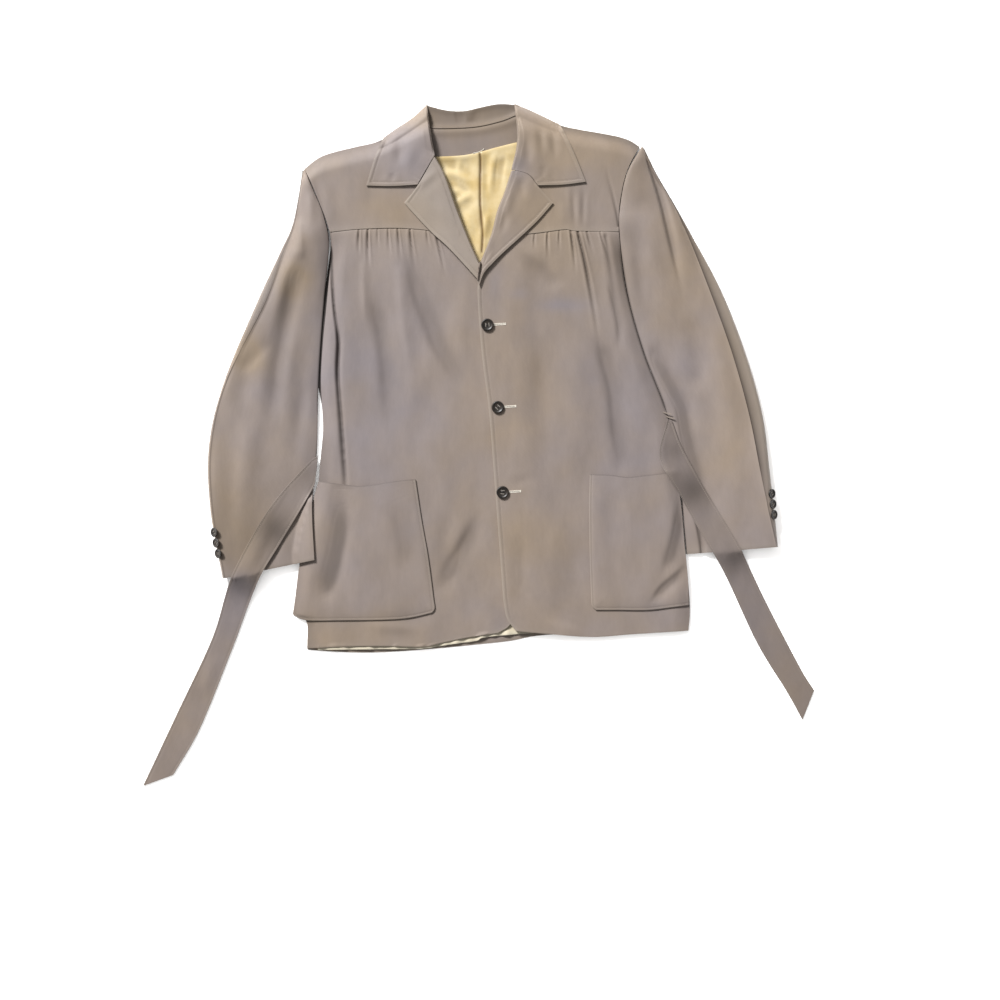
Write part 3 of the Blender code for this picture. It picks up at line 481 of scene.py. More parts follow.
def shares_with(corner, count):
    """Close shares with one of them exactly on a corner."""
    t = shares(count, 0.3)
    t[np.abs(t - corner).argmin()] = corner
    return t


def corner_share(runs, count):
    """How far along an edge its first runs reach, as a share of the whole."""
    lengths = [line_length(run) for run in runs]
    return sum(lengths[:count]) / sum(lengths)


print("left side is", round(float(line_length(LEFT_SIDE))), "mm long")

# %% [markdown]
# ## How the cloth lies
# The fronts lie low along the side seams and shoulders and are fuller between, where the layers and
# the padding inside hold them up. Creases come from tables: a line from a start past a bend to an
# end, a width, and how far the cloth rises or sinks there. Gathers widen and fade as they leave
# their seam. Longer folds follow more points and may be steeper on one side than on the other, as
# cloth is where it rolls over. A few long, low waves keep the rest from being perfectly even.

# %% Heights
EDGE_HEIGHT = CLOTH + GAP
SIDE_ROLL, SHOULDER_ROLL = 24.0, 30.0
BODY_LOFT = ((-300, 5.0), (-150, 6.5), (0, 7.5), (150, 8.5), (309, 11.0), (400, 14.0), (480, 15.0))
# wave length, direction in degrees, height, phase
SLOW_WAVES = (
    (210, 12, 0.35, 0.3), (130, 96, 0.22, 1.9), (88, 40, 0.16, 4.0), (61, 150, 0.10, 2.2),
    (43, 20, 0.07, 5.1),
)

left_line = np.vstack([smooth_line(run) for run in (LEFT_ARMHOLE, LEFT_SIDE, LEFT_SIDE_LOW)])
right_line = np.vstack([smooth_line(run) for run in (RIGHT_ARMHOLE, RIGHT_SIDE)])
shoulder_line = np.vstack([smooth_line(run) for run in (LEFT_SHOULDER, RIGHT_SHOULDER)])


def soft(t):
    """Ease from 0 to 1."""
    t = np.clip(t, 0, 1)
    return t * t * (3 - 2 * t)


def rounded(t):
    """Rise from 0 to 1, steep at first and level at the end."""
    return np.sin(np.pi / 2 * np.clip(t, 0, 1))


def hump(apart, reach):
    """A smooth hump: 1 on its line and nothing at about twice its reach."""
    return np.exp(-((apart / reach) ** 2))


def fading(apart, reach):
    """1 on an edge, fading quickly away from it."""
    return np.exp(-apart / reach)


def side_at(line, y):
    """Where a side line is at a given y."""
    return np.interp(-y, -line[:, 1], line[:, 0])


def body_height(xy):
    """Underside of the fronts and yokes."""
    x, y = xy[..., 0], xy[..., 1]
    left = side_at(left_line, y)
    right = side_at(right_line, y)
    armhole = soft((y - 262) / 50)
    side = armhole + (1 - armhole) * rounded(np.minimum(x - left, right - x) / SIDE_ROLL)
    shoulder = np.interp(x, shoulder_line[:, 0], shoulder_line[:, 1]) - y
    loft = np.interp(y, *zip(*BODY_LOFT))
    return EDGE_HEIGHT + (loft - EDGE_HEIGHT) * side * rounded(shoulder / SHOULDER_ROLL)


def slow_waves(xy):
    total = np.zeros(xy.shape[:2])
    for length, direction, high, phase in SLOW_WAVES:
        turn = math.radians(direction)
        along = xy[..., 0] * math.cos(turn) + xy[..., 1] * math.sin(turn)
        total += high * np.sin(along * math.tau / length + phase)
    return total


def distance_to(xy, line):
    """Distance of each grid point to a line of close points, and how far along it lies."""
    apart = np.linalg.norm(xy[..., None, :] - line, axis=-1)
    return apart.min(-1), apart.argmin(-1) / (len(line) - 1)


def creases(xy, table, start=0.4, spread=0.0):
    """Height that a table of creases adds: start x, y, bend x, y, end x, y, width, rise."""
    rise = np.zeros(xy.shape[:2])
    t = np.linspace(0, 1, 90)[:, None]
    for x0, y0, x1, y1, x2, y2, width, high in table:
        reach = 4 * width * (1 + spread) + 8
        low = np.minimum(np.minimum((x0, y0), (x1, y1)), (x2, y2)) - reach
        top = np.maximum(np.maximum((x0, y0), (x1, y1)), (x2, y2)) + reach
        near = ((xy >= low) & (xy <= top)).all(-1)
        if not near.any():
            continue
        curve = (1 - t) ** 2 * np.array([x0, y0]) + 2 * t * (1 - t) * np.array([x1, y1])
        apart, along = distance_to(xy[near][None], curve + t**2 * np.array([x2, y2]))
        wide = width * (1 + spread * along[0])
        fade = soft(along[0] / start) * soft((1 - along[0]) / 0.5) if start else soft((1 - along[0]) / 0.85)
        off = apart[0] / wide
        rise[near] += high * fade * (np.exp(-(off**2)) - 0.3 * np.exp(-((off - 2.1) ** 2)))
    return rise


def folds(xy, table, start=0.35, end=0.35):
    """Height that long folds add: points of a line, width left and right of its way, and a rise."""
    rise = np.zeros(xy.shape[:2])
    for points, left, right, high in table:
        line = smooth_line(points)
        reach = 3 * max(left, right)
        near = ((xy >= line.min(0) - reach) & (xy <= line.max(0) + reach)).all(-1)
        apart, along = distance_to(xy[near][None], line)
        nearest = (along[0] * (len(line) - 1)).round().astype(int)
        ahead, away = np.gradient(line, axis=0)[nearest], xy[near] - line[nearest]
        wide = np.where(ahead[:, 0] * away[:, 1] > ahead[:, 1] * away[:, 0], left, right)
        fade = soft(along[0] / start) * soft((1 - along[0]) / end)
        rise[near] += high * fade * hump(apart[0], wide)
    return rise


CHEST = np.array([[[-100.0, 200.0]]])
print("height of the fronts at the chest", round(float(body_height(CHEST)[0, 0]), 1), "mm")

# %% [markdown]
# ## One way to make every sheet
# Each sheet starts as a flat bmesh grid whose points are then placed, so rows and columns stay in
# order and its own grain runs along it. Solidify gives the wall its thickness below, and a small
# bevel rounds the folded edge. A ray cast down on the sheets already made tells a new one how
# high it has to lie, and cloth bridges small hollows instead of dropping into them.

# %% Sheets
SKY = 300.0
DOWN = Vector((0, 0, -1))
EDGE_BEVEL = 0.55
# how far from the edge the stitching runs
EDGE_STITCH, POCKET_STITCH, BELT_STITCH = 5.5, 3.0, 2.6
EVEN_MAUVE = 0.42
surfaces, sheets, grids = {}, {}, {}

# Where the cloth has aged: x, y, reach across, reach along, more mauve (+) or more tan (-)
AGED = (
    (-143, 64, 110, 210, 0.42), (-222, 165, 26, 130, 0.25), (215, 60, 85, 160, 0.42),
    (-104, 412, 42, 46, 0.45), (-300, 88, 55, 50, 0.3), (-330, -10, 60, 90, 0.1),
    (-340, -250, 70, 60, 0.35), (-346, -96, 44, 70, -0.5), (370, -200, 110, 170, 0.25),
    (121, 201, 34, 10, 0.5), (60, 400, 22, 20, 0.4), (150, 435, 90, 42, -0.55),
    (112, 290, 40, 70, -0.45), (58, 217, 15, 9, 0.35), (-128, 335, 50, 34, -0.45),
    (-265, 235, 26, 28, -0.75), (-332, 124, 26, 26, -0.9), (24, 231, 11, 22, 0.3),
    (40, 60, 90, 120, -0.2), (70, -150, 60, 50, -0.35), (-190, -280, 90, 26, -0.35),
    (318, 110, 40, 60, 0.35), (370, 60, 30, 150, -0.3), (-20, 472, 70, 22, -0.75),
    (-40, 340, 40, 60, 0.15), (70, 350, 40, 50, -0.3), (300, 270, 60, 120, -0.3),
    (-342, -206, 20, 20, 0.5),
)


def aged(x, y):
    share = np.full(x.shape, EVEN_MAUVE)
    for cx, cy, rx, ry, more in AGED:
        share = share + more * np.exp(-(((x - cx) / rx) ** 2) - ((y - cy) / ry) ** 2)
    return np.clip(share, 0, 1)


def highest(xy, names):
    """Height of the topmost of the named sheets at each point, or just under the table."""
    z = np.full(xy.shape[:2], -GAP)
    for name in names:
        for index in np.ndindex(z.shape):
            hit = surfaces[name].ray_cast((*xy[index], SKY), DOWN)[0]
            if hit and hit.z > z[index]:
                z[index] = hit.z
    return z


def lay(xy, names):
    """Lowest height at which a sheet clears all it lies on."""
    z = np.pad(highest(xy, names), 1, mode="edge")
    rows, columns = xy.shape[:2]
    around = [z[i : i + rows, j : j + columns] for i in range(3) for j in range(3)]
    return np.max(around, axis=0) + GAP


def bridged(z, passes):
    """Cloth bridges small hollows: each pass lifts a point to the mean of its neighbours."""
    for _ in range(passes):
        p = np.pad(z, 1, mode="edge")
        z = np.maximum(z, (p[:-2, 1:-1] + p[2:, 1:-1] + p[1:-1, :-2] + p[1:-1, 2:]) / 4)
    return z


def seen_from(grid, side):
    """The grid turned so that every row starts at the named side."""
    grid = grid.swapaxes(0, 1) if side in ("top", "low") else grid
    return grid[:, ::-1] if side in ("right", "low") else grid


def from_side(xy, side):
    """Distance of each point to one side of its grid, measured square to that side."""
    grid = seen_from(xy, side)
    along = np.gradient(grid[:, 0], axis=0)
    along = along / np.linalg.norm(along, axis=-1, keepdims=True)
    away = grid - grid[:, :1]
    apart = np.abs(along[:, None, 0] * away[..., 1] - along[:, None, 1] * away[..., 0])
    apart = apart[:, ::-1] if side in ("right", "low") else apart
    return apart.swapaxes(0, 1) if side in ("top", "low") else apart


def from_sides(xy, sides):
    return np.min([from_side(xy, side) for side in sides], axis=0)


def swelled(apart, stitch=EDGE_STITCH, high=0.3):
    """A sewn edge: turned cloth stands up along it, and the stitching pulls a groove beside it."""
    turned_in = high * hump(apart - 0.5 * stitch, 0.42 * stitch)
    return turned_in - 0.25 * hump(apart - stitch, 1.3)


def cloth(name, xyz, thick=CLOTH, material=gabardine, wear=0.0, shade=0.0, slot="gabardine"):
    """A sheet whose outer face is the grid of points, with its wall behind it."""
    rows, columns = xyz.shape[:2]
    bm = bmesh.new()
    grain = bm.loops.layers.uv.new("grain")
    bmesh.ops.create_grid(bm, x_segments=columns - 1, y_segments=rows - 1, size=0.5, calc_uvs=True)
    values = {"mauve": aged(xyz[..., 0], xyz[..., 1]), "wear": wear, "shade": shade}
    for layer, value in values.items():
        key = bm.verts.layers.float.new(layer)
        spread = np.broadcast_to(value, (rows, columns))[::-1].ravel()
        for vert, amount in zip(bm.verts, spread.tolist()):
            vert[key] = amount
    for vert, point in zip(bm.verts, xyz[::-1].reshape(-1, 3).tolist()):
        vert.co = point
    bm.normal_update()
    bmesh.ops.solidify(bm, geom=bm.faces[:], thickness=thick)
    for vert in bm.verts:
        vert.co.z = max(vert.co.z, 0.0)
    bm.normal_update()
    rim = [e for e in bm.edges if e.is_manifold and e.calc_face_angle() > 1.0]
    bmesh.ops.bevel(
        bm, geom=rim, offset=EDGE_BEVEL * thick / CLOTH, segments=2, profile=0.5, affect="EDGES",
        material=-1, clamp_overlap=True,
    )
    surfaces[name] = BVHTree.FromBMesh(bm)
    bmesh.ops.scale(bm, verts=bm.verts, vec=(MM, MM, MM))
    for face in bm.faces:
        face.smooth = True
    mesh = bpy.data.meshes.new(name + "_cloth")
    bm.to_mesh(mesh)
    bm.free()
    wide = np.linalg.norm(np.diff(xyz, axis=1), axis=-1).sum(1)
    long = np.linalg.norm(np.diff(xyz, axis=0), axis=-1).sum(0)
    uv = np.empty(2 * len(mesh.loops), np.float32)
    mesh.uv_layers["grain"].data.foreach_get("uv", uv)
    size = np.tile([wide.mean() * MM, long.mean() * MM], len(mesh.loops))
    mesh.uv_layers["grain"].data.foreach_set("uv", uv * size)
    mesh.materials.append(material)
    piece = bpy.data.objects.new(name + "_cloth", mesh)
    studio.collection.objects.link(piece)
    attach(piece, "root")
    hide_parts(name)
    sheets[name], grids[name] = piece, xyz
    print(f"{name}: {len(mesh.polygons)} faces, {wide.max():.0f} by {long.max():.0f} mm")


def laid_sheet(name, xy, under, **how):
    """A sheet whose wall stands on a given underside."""
    cloth(name, np.dstack([xy, under + how.get("thick", CLOTH)]), **how)


print("sheets lie", GAP, "mm apart")

# %% [markdown]
# ## Under the neck: fall, back, stand, facing and lining
# The collar's fall lies flat on the table behind the neck, and the back panel lies over it. In the
# neck opening the stand and the facing show, both of gabardine, and below them the cream lining with
# its pleat down the middle: a ridge of satin on each side of a deep fold, with creases across.

# %% Fall, back, stand and facing
fall_top = edge(LEFT_COLLAR_TOP[::-1], COLLAR_FOLD, RIGHT_COLLAR_TOP)
fall_low = edge(((-135, 443), (-90, 425), (-10, 422), (60, 430), (115, 461)))
fall_left, fall_right = edge(((-137, 446), (-135, 443))), edge(((117, 465), (115, 461)))
xy = patch(fall_top, fall_low, fall_left, fall_right, shares(90, 0.2), shares(14))
laid_sheet("collar_back", xy, np.zeros(xy.shape[:2]), wear=0.2 * fading(from_side(xy, "low"), 4))

left_runs = (LEFT_ARMHOLE, LEFT_BACK_SIDE, LEFT_SIDE_LOW, ((-249, -297), BACK_HEM[0]))
back_top = edge(LEFT_SHOULDER, NECK_SEAM, RIGHT_SHOULDER)
xy = patch(
    back_top, edge(BACK_HEM), edge(*left_runs), edge(RIGHT_ARMHOLE, RIGHT_SIDE),
    shares(96, 0.7), shares_with(corner_share(left_runs, 2), 100),
)
# painted shade: the back is darkened where it shows in the crevice beside the left front
crevice = soft((side_at(left_line, xy[..., 1]) + 2 - xy[..., 0]) / 2)
crevice = 0.9 * crevice * soft((xy[..., 1] - 50) / 20)
over_fall = bridged(lay(xy, ["collar_back"]), 4)
wear = 0.25 * fading(from_side(xy, "low"), 3)
laid_sheet("back", xy, np.where(over_fall > 1, over_fall, 0.0), wear=wear, shade=crevice)

facing_top = edge(((-74, 462), (-62, 460), (-7, 462), (31, 470), (58, 480)))
facing_left, facing_right = edge(((-74, 462), FACING_LOW[0])), edge(((58, 480), FACING_LOW[-1]))
xy = patch(facing_top, edge(FACING_LOW), facing_left, facing_right, shares(80, 0.2), shares(20))
puff = 1.3 * hump(from_side(xy, "top") - 7, 6)
# painted shade: the facing is darkened all over, in the shade inside the neck
laid_sheet("neck_facing", xy, bridged(lay(xy, ["collar_back", "back"]), 10) + puff, thick=LINING, shade=0.18)

stand_low = edge(((-72, 461), (-60, 458), (-7, 460), (31, 468), (52, 476), (58, 478)))
stand_left, stand_right = edge(((-75, 492), (-72, 461))), edge(((58, 490), (58, 478)))
xy = patch(edge(COLLAR_FOLD + ((58, 490),)), stand_low, stand_left, stand_right, shares(90, 0.3), shares(22))
STAND_CREASES = ((-30, 490, -27, 478, -24, 464, 4.0, -1.6), (-14, 488, -12, 478, -13, 466, 6.0, 1.2))
under = bridged(lay(xy, ["collar_back", "back", "neck_facing"]), 20)
under = under + np.maximum(creases(xy, STAND_CREASES), -0.2) + 1.2 * hump(from_side(xy, "top"), 5)
# painted shade: the stand is darkened all over, in the shade inside the neck
laid_sheet("collar_stand", xy, under, thick=0.8, shade=0.38, wear=0.15 * fading(from_side(xy, "top"), 3))

# %% Lining
# start x, y, bend x, y, end x, y, width, rise
LINING_CREASES = (
    (-62, 396, -30, 394, -6, 372, 6, 1.5), (-50, 372, -28, 366, -8, 356, 5, 1.2),
    (-40, 350, -22, 352, -6, 366, 5, 1.3), (-44, 392, -24, 384, -14, 360, 4, -0.8),
    (22, 424, 20, 390, 10, 350, 6, 1.4), (36, 430, 32, 404, 22, 372, 5, -0.9),
    (14, 404, 15, 380, 9, 352, 4, -0.7), (-20, 340, -12, 320, -6, 300, 6, 1.2),
    (14, 340, 11, 320, 8, 296, 5, 1.3), (-30, 414, -26, 404, -28, 392, 5, 0.9),
)
# the centre pleat: x, y
PLEAT = ((2, 421), (3, 412), (2.5, 380), (2.5, 350), (4, 330), (6, 304), (5, 280))
PLEAT_WIDTH, PLEAT_RIDGE = 1.5, 1.7


def stepped(*spans):
    """Shares from 0 to 1 in spans, each given with its own count."""
    return np.unique(np.concatenate([np.linspace(*span) for span in spans]))


lining_top = edge(((-180, 412), (-100, 413)) + moved(FACING_LOW, 0, 1) + ((100, 434), (160, 425)))
lining_left = edge(((-180, 412), (-186, 300), (-200, 60), (-212, -120), (-233, -299)))
lining_right = edge(((160, 425), (178, 300), (240, 50), (272, -120), (281, -261)))
across = stepped((0, 0.33, 24), (0.33, 0.75, 96), (0.75, 1, 20))
down = stepped((0, 0.24, 54), (0.24, 0.97, 36), (0.97, 1, 8))
xy = patch(lining_top, edge(LINING_HEM), lining_left, lining_right, across, down)
from_pleat = distance_to(xy, smooth_line(PLEAT))[0]
in_neck = soft((xy[..., 1] - 262) / 20) * soft((428 - xy[..., 1]) / 8)
ridge = PLEAT_RIDGE * hump(from_pleat, 9) - (PLEAT_RIDGE + 0.4) * hump(from_pleat, PLEAT_WIDTH)
from_hem = from_side(xy, "low")
pucker = 0.6 + 0.25 * np.sin(xy[..., 0] / 2.9) + 0.25 * np.sin(xy[..., 0] / 6.7 + 1)
hem_puff = 3.4 * pucker * hump(from_hem, 9) * soft((70 - xy[..., 0]) / 30)
crease = creases(xy, LINING_CREASES)
puff = (np.maximum(1.5 * crease, -0.6) + ridge) * in_neck + 0.3 * in_neck + hem_puff
pleat_shade = 0.85 * hump(from_pleat, PLEAT_WIDTH) + 0.2 * hump(from_pleat, 6)
valley_shade = 0.3 * np.clip(-crease, 0, 1)
under = np.maximum(bridged(lay(xy, ["back", "neck_facing"]), 6), 0) + np.maximum(puff, 0)
laid_sheet(
    "back_lining", xy, under, thick=LINING, material=satin, slot="lining",
    shade=np.clip((pleat_shade + valley_shade) * in_neck, 0, 0.9), wear=0.9 * fading(from_hem, 40),
)

# %% [markdown]
# ## Yokes and gathered fronts
# The fronts are cut wider than the yokes and drawn in along the seam, so sharp little valleys fan
# out below it and die away down the chest. The yoke's turned edge laps over them as a low lip.
# The long crease along the left side, the diagonal one at the lower left front and the soft pull
# under the right lapel come from how the jacket was laid down.

# %% Creases of the fronts and yokes
# start x, y, bend x, y, end x, y, width, rise
LEFT_GATHERS = (
    (-173, 309, -174, 294, -173, 268, 1.2, -1.9), (-160, 310, -161, 286, -158, 244, 1.3, -2.4),
    (-146, 311, -146, 298, -145, 280, 1.1, -0.9), (-131, 311, -130, 294, -128, 264, 1.1, -1.4),
    (-117, 311, -115, 290, -112, 258, 1.2, -1.9), (-99, 310, -98, 288, -90, 242, 1.4, -2.5),
    (-75, 308, -74, 298, -70, 276, 1.1, -1.4), (-62, 305, -56, 282, -46, 238, 1.2, -2.1),
)
LEFT_CREASES = (
    (-40, 214, -24, 150, -14, 60, 12, 0.8), (-40, -80, -52, -150, -46, -230, 12, -0.9),
    (20, 150, 26, 90, 34, 20, 6, -0.6), (-176, -262, -120, -266, -70, -270, 7, 0.6),
)
RIGHT_GATHERS = (
    (81, 304, 81, 294, 82, 278, 1.1, -1.2), (100, 306, 100, 290, 102, 258, 1.2, -1.7),
    (117, 309, 117, 296, 118, 276, 1.1, -1.1), (133, 310, 138, 286, 142, 240, 1.3, -2.5),
    (143, 309, 160, 250, 180, 118, 1.7, -3.6), (156, 309, 161, 294, 170, 264, 1.2, -1.8),
    (176, 306, 182, 288, 192, 256, 1.2, -1.4), (184, 300, 194, 240, 206, 150, 3.0, -1.4),
)
RIGHT_CREASES = (
    (150, 180, 152, 70, 140, -50, 18, 1.2), (96, 190, 92, 70, 98, -40, 18, -1.0),
    (226, 150, 236, 80, 246, 10, 12, 0.8), (40, -60, 58, -55, 84, -49, 6, -0.5),
    (110, -70, 112, -160, 104, -260, 14, 0.9), (60, -120, 66, -180, 60, -250, 10, -0.7),
)
# points, width left and right of the way, rise; at the left side the front rolls over beside its seam
LEFT_SIDE_FOLD = (
    (
        ((-213, 318), (-213, 280), (-213, 250), (-209, 197), (-203, 148), (-204, 100), (-200, 50)),
        1.9, 2.3, -4.6,
    ),
    (((-206, 170), (-203, 148), (-204, 100), (-199, 33), (-193, -50), (-191, -84)), 3.0, 3.8, -4.2),
)
LEFT_FOLDS = (
    (((-214, 200), (-210, 148), (-212, 90), (-206, 10)), 6, 9, -1.4),
    (((-199, 240), (-193, 161), (-195, 90), (-183, 0)), 18, 6, 1.4),
    (((7, -90), (-22, -146), (-40, -180), (-58, -224)), 16, 9, -3.4),
    (((-104, 290), (-99, 256), (-90, 220), (-75, 180), (-59, 140), (-30, 95), (-8, 66)), 17, 10, -3.2),
    (((-116, 262), (-114, 242), (-110, 194), (-106, 164), (-99, 113), (-94, 25)), 10, 7, 1.7),
    (((-158, 250), (-152, 205), (-143, 165), (-137, 120), (-133, 60), (-126, -10)), 15, 9, -2.6),
    (((-168, 276), (-166, 242), (-165, 207), (-160, 170)), 7, 5, 1.4),
)
RIGHT_FOLDS = (
    (((40, 284), (68, 268), (94, 252), (110, 236), (120, 222)), 9, 15, -1.7),
    (((164, 190), (174, 146), (182, 120), (193, 76), (198, 24), (206, -28), (208, -52)), 15, 8, -3.0),
    (((186, 240), (195, 210), (203, 172), (204, 130)), 8, 4, -2.0),
)
RIGHT_YOKE_CREASES = (
    (135, 376, 138, 340, 141, 309, 3.0, -1.2), (152, 376, 152, 340, 151, 308, 3.0, -1.0),
    (120, 352, 124, 334, 126, 312, 6.0, 0.5),
)
# points, width left and right of the way, rise
RIGHT_YOKE_FOLDS = ((((184, 408), (187, 385), (194, 360), (201, 330), (203.5, 312)), 1.6, 2.0, -1.6),)
LEFT_YOKE_CREASES = (
    (-240, 392, -226, 352, -218, 320, 4.0, -0.9), (-226, 390, -214, 352, -206, 322, 6.0, 0.6),
    (-150, 400, -160, 360, -150, 320, 14.0, -0.6),
)
SEAM_LIP = 0.35


def crease_shade(rise):
    """Lost light deep in a narrow crease."""
    return 0.6 * soft(-rise / 3.2)


def fold_shade(rise):
    """The little light that a broad fold loses."""
    return 0.22 * soft(-rise / 2.6)


inner_layers = ["back", "back_lining", "neck_facing", "collar_back"]
print(len(LEFT_GATHERS), "and", len(RIGHT_GATHERS), "gathers")

# %% Yokes
YOKE_COLUMNS, YOKE_ROWS = shares(96, 0.5), shares(64)


def yoke(name, xy, rise, shade):
    """A yoke over the inner layers, with a low lip along its seam."""
    seam = from_side(xy, "low")
    loose = body_height(xy) + rise + SEAM_LIP * hump(seam, 6) + 0.6 * slow_waves(xy)
    # the lip along the seam is paler from wear and from a painted highlight
    laid_sheet(name, xy, np.maximum(loose, lay(xy, inner_layers)), wear=0.3 * fading(seam, 2), shade=shade)


xy = patch(
    edge(LEFT_SHOULDER), edge(moved(LEFT_YOKE_SEAM, 0, LAP)), edge(raised_end(LEFT_ARMHOLE)),
    edge(raised_end(LEFT_NECK_EDGE)), YOKE_COLUMNS, YOKE_ROWS,
)
# painted shade along the top of the shoulder, where it rounds away from the light
yoke("yoke_left", xy, creases(xy, LEFT_YOKE_CREASES), 0.3 * hump(from_side(xy, "top"), 10))
xy = patch(
    edge(RIGHT_SHOULDER), edge(moved(RIGHT_YOKE_SEAM, 0, LAP)), edge(raised_end(RIGHT_NECK_EDGE)),
    edge(raised_end(RIGHT_ARMHOLE)), YOKE_COLUMNS, YOKE_ROWS,
)
fold = folds(xy, RIGHT_YOKE_FOLDS, 0.6, 0.04)
# painted shade along the shoulder's top and in the fold by the armhole
shade = 0.5 * hump(from_side(xy, "top"), 11) + 0.3 * soft(-fold / 1.6)
yoke("yoke_right", xy, creases(xy, RIGHT_YOKE_CREASES) + fold, shade)

# %% Fronts
PLACKET_WIDTH, PLACKET_LIFT = 46.0, 2.4


def front_rise(xy, gathers, long_creases):
    """Height that gathers and creases add to a front, and the gathers' own share of it."""
    seam = from_side(xy, "top")
    pinched = creases(xy, gathers, 0, 0.8) * (0.35 + 0.65 * soft(seam / 8))
    tuck = 0.3 * hump(seam, 3)
    return pinched + 1.4 * creases(xy, long_creases) - tuck, pinched


def gathered_columns(seam, gathers, sides):
    """Columns that stand close where the gathers are and at the sides."""
    left, right = seam[0][0], seam[-1][0]
    return shares_near(190, [((row[0] - left) / (right - left), 0.016) for row in gathers] + sides)


left_runs = (LEFT_SIDE, LEFT_SIDE_LOW)
xy = patch(
    edge(LEFT_YOKE_SEAM), edge(LEFT_HEM), edge(*left_runs), edge(LEFT_FRONT_EDGE, LEFT_CORNER),
    gathered_columns(LEFT_YOKE_SEAM, LEFT_GATHERS, [(0.07, 0.07), (1.0, 0.02)]),
    shares_with(corner_share(left_runs, 1), 160),
)
rise, pinched = front_rise(xy, LEFT_GATHERS, LEFT_CREASES)
trough, fold = folds(xy, LEFT_SIDE_FOLD), folds(xy, LEFT_FOLDS)
rise = rise + trough + fold
under = np.maximum(body_height(xy) + rise + slow_waves(xy), lay(xy, inner_layers))
wear = 0.35 * fading(from_side(xy, "right"), 3) + 0.2 * fading(from_side(xy, "low"), 3)
# painted shade: in the gathers, the side trough and the folds, and along the left side below the waist
below_waist = 0.3 * hump(from_side(xy, "left"), 16) * soft((40 - xy[..., 1]) / 50)
shade = crease_shade(pinched + 0.8 * trough) + fold_shade(fold) + below_waist
laid_sheet("front_left", xy, under, wear=wear, shade=np.minimum(shade, 0.9))

opening = edge(RIGHT_FRONT_EDGE, RIGHT_CORNER)
xy = patch(
    edge(RIGHT_YOKE_SEAM), edge(RIGHT_HEM), opening, edge(RIGHT_SIDE),
    gathered_columns(RIGHT_YOKE_SEAM, RIGHT_GATHERS, [(0.0, 0.035), (1.0, 0.03)]), shares(160, 0.3),
)
rise, pinched = front_rise(xy, RIGHT_GATHERS, RIGHT_CREASES)
from_front = from_side(xy, "left")
placket = PLACKET_LIFT * (1 - soft((from_front - PLACKET_WIDTH) / 40)) * soft((300 - xy[..., 1]) / 40)
fold = folds(xy, RIGHT_FOLDS)
under = body_height(xy) + rise + fold + placket + slow_waves(xy) + swelled(from_front)
under = np.maximum(under, lay(xy, inner_layers + ["front_left"]))
wear = 0.5 * fading(from_front, 2.5) + 0.15 * fading(from_side(xy, "low"), 3)
# painted shade: in the narrow crevice beside the right sleeve, and in the gathers and folds
beside_sleeve = 0.75 * hump(from_side(xy, "right"), 2.2) * soft((xy[..., 1] - 40) / 20)
shade = np.maximum(crease_shade(pinched) + fold_shade(fold), beside_sleeve * soft((300 - xy[..., 1]) / 60))
laid_sheet("front_right", xy, under, wear=wear, shade=shade)

# %% [markdown]
# ## Patch pockets
# A patch pocket is a separate piece laid on the front and edge-stitched on three sides; its mouth is
# turned in at the top. So it takes the front's shape, creases included, and adds a little of its own.

# %% Pockets
# points, width left and right of the way, rise
LEFT_POCKET_FOLDS = (
    (((-198, -20), (-200, -108), (-208, -160), (-219, -205), (-223, -240)), 15, 14, -4.2),
    (((-120, -44), (-118, -110), (-110, -160), (-108, -220)), 26, 12, -2.2),
)
RIGHT_POCKET_FOLDS = (
    (((294, -70), (283, -140), (264, -200)), 16, 6, -3.0),
    (((308, -172), (283, -194), (263, -212), (248, -236)), 12, 3.5, -2.6),
    (((190, -50), (193, -130), (200, -215)), 18, 12, -1.2),
)
POCKET_LIFT, DEEPEST_FOLD = 2.2, 4.2


def pocket(name, front, xy, table, sides):
    """A patch pocket on a front, sewn down along the named sides."""
    rise = folds(xy, table)
    apart = from_sides(xy, sides)
    mouth = from_side(xy, "top")
    under = bridged(lay(xy, ["back", front]), 30)
    sunk = np.maximum(rise, -DEEPEST_FOLD) * soft(apart / 14) * soft(mouth / 10 + 0.3)
    under = under + POCKET_LIFT + sunk + swelled(apart, POCKET_STITCH)
    under = np.maximum(under - POCKET_LIFT * fading(apart, 8), highest(xy, ["back", front]) + GAP)
    wear = 0.25 * fading(apart, 2)
    # painted shade: a dark line under the turned mouth, and in the deep folds
    shade = np.maximum(0.6 * hump(mouth, 0.9), 0.42 * soft((-rise - 0.8) / 3) * soft(apart / 14))
    laid_sheet(name, xy, under, wear=wear, shade=shade)


xy = patch(
    edge(LEFT_POCKET_TOP), edge(LEFT_POCKET_LOW), edge(LEFT_POCKET_OUTER), edge(LEFT_POCKET_INNER),
    shares(84), shares(88),
)
pocket("pocket_left", "front_left", xy, LEFT_POCKET_FOLDS, ("right", "low"))
xy = patch(
    edge(RIGHT_POCKET_TOP), edge(RIGHT_POCKET_LOW), edge(RIGHT_POCKET_INNER), edge(RIGHT_POCKET_OUTER),
    shares(80), shares(88),
)
pocket("pocket_right", "front_right", xy, RIGHT_POCKET_FOLDS, ("left", "low"))

# %% [markdown]
# ## Lapels and collar leaves
# Each leaf is turned over at its roll line: it leaves the line low, rounds over, and lies on what is
# below it. Two layers with a seam between them make the outer edge swell, and stitching 5.5 mm in
# draws a groove beside it. The edge is paler than the rest, from wear and a painted highlight, and
# the left lapel is painted paler all over as a highlight.

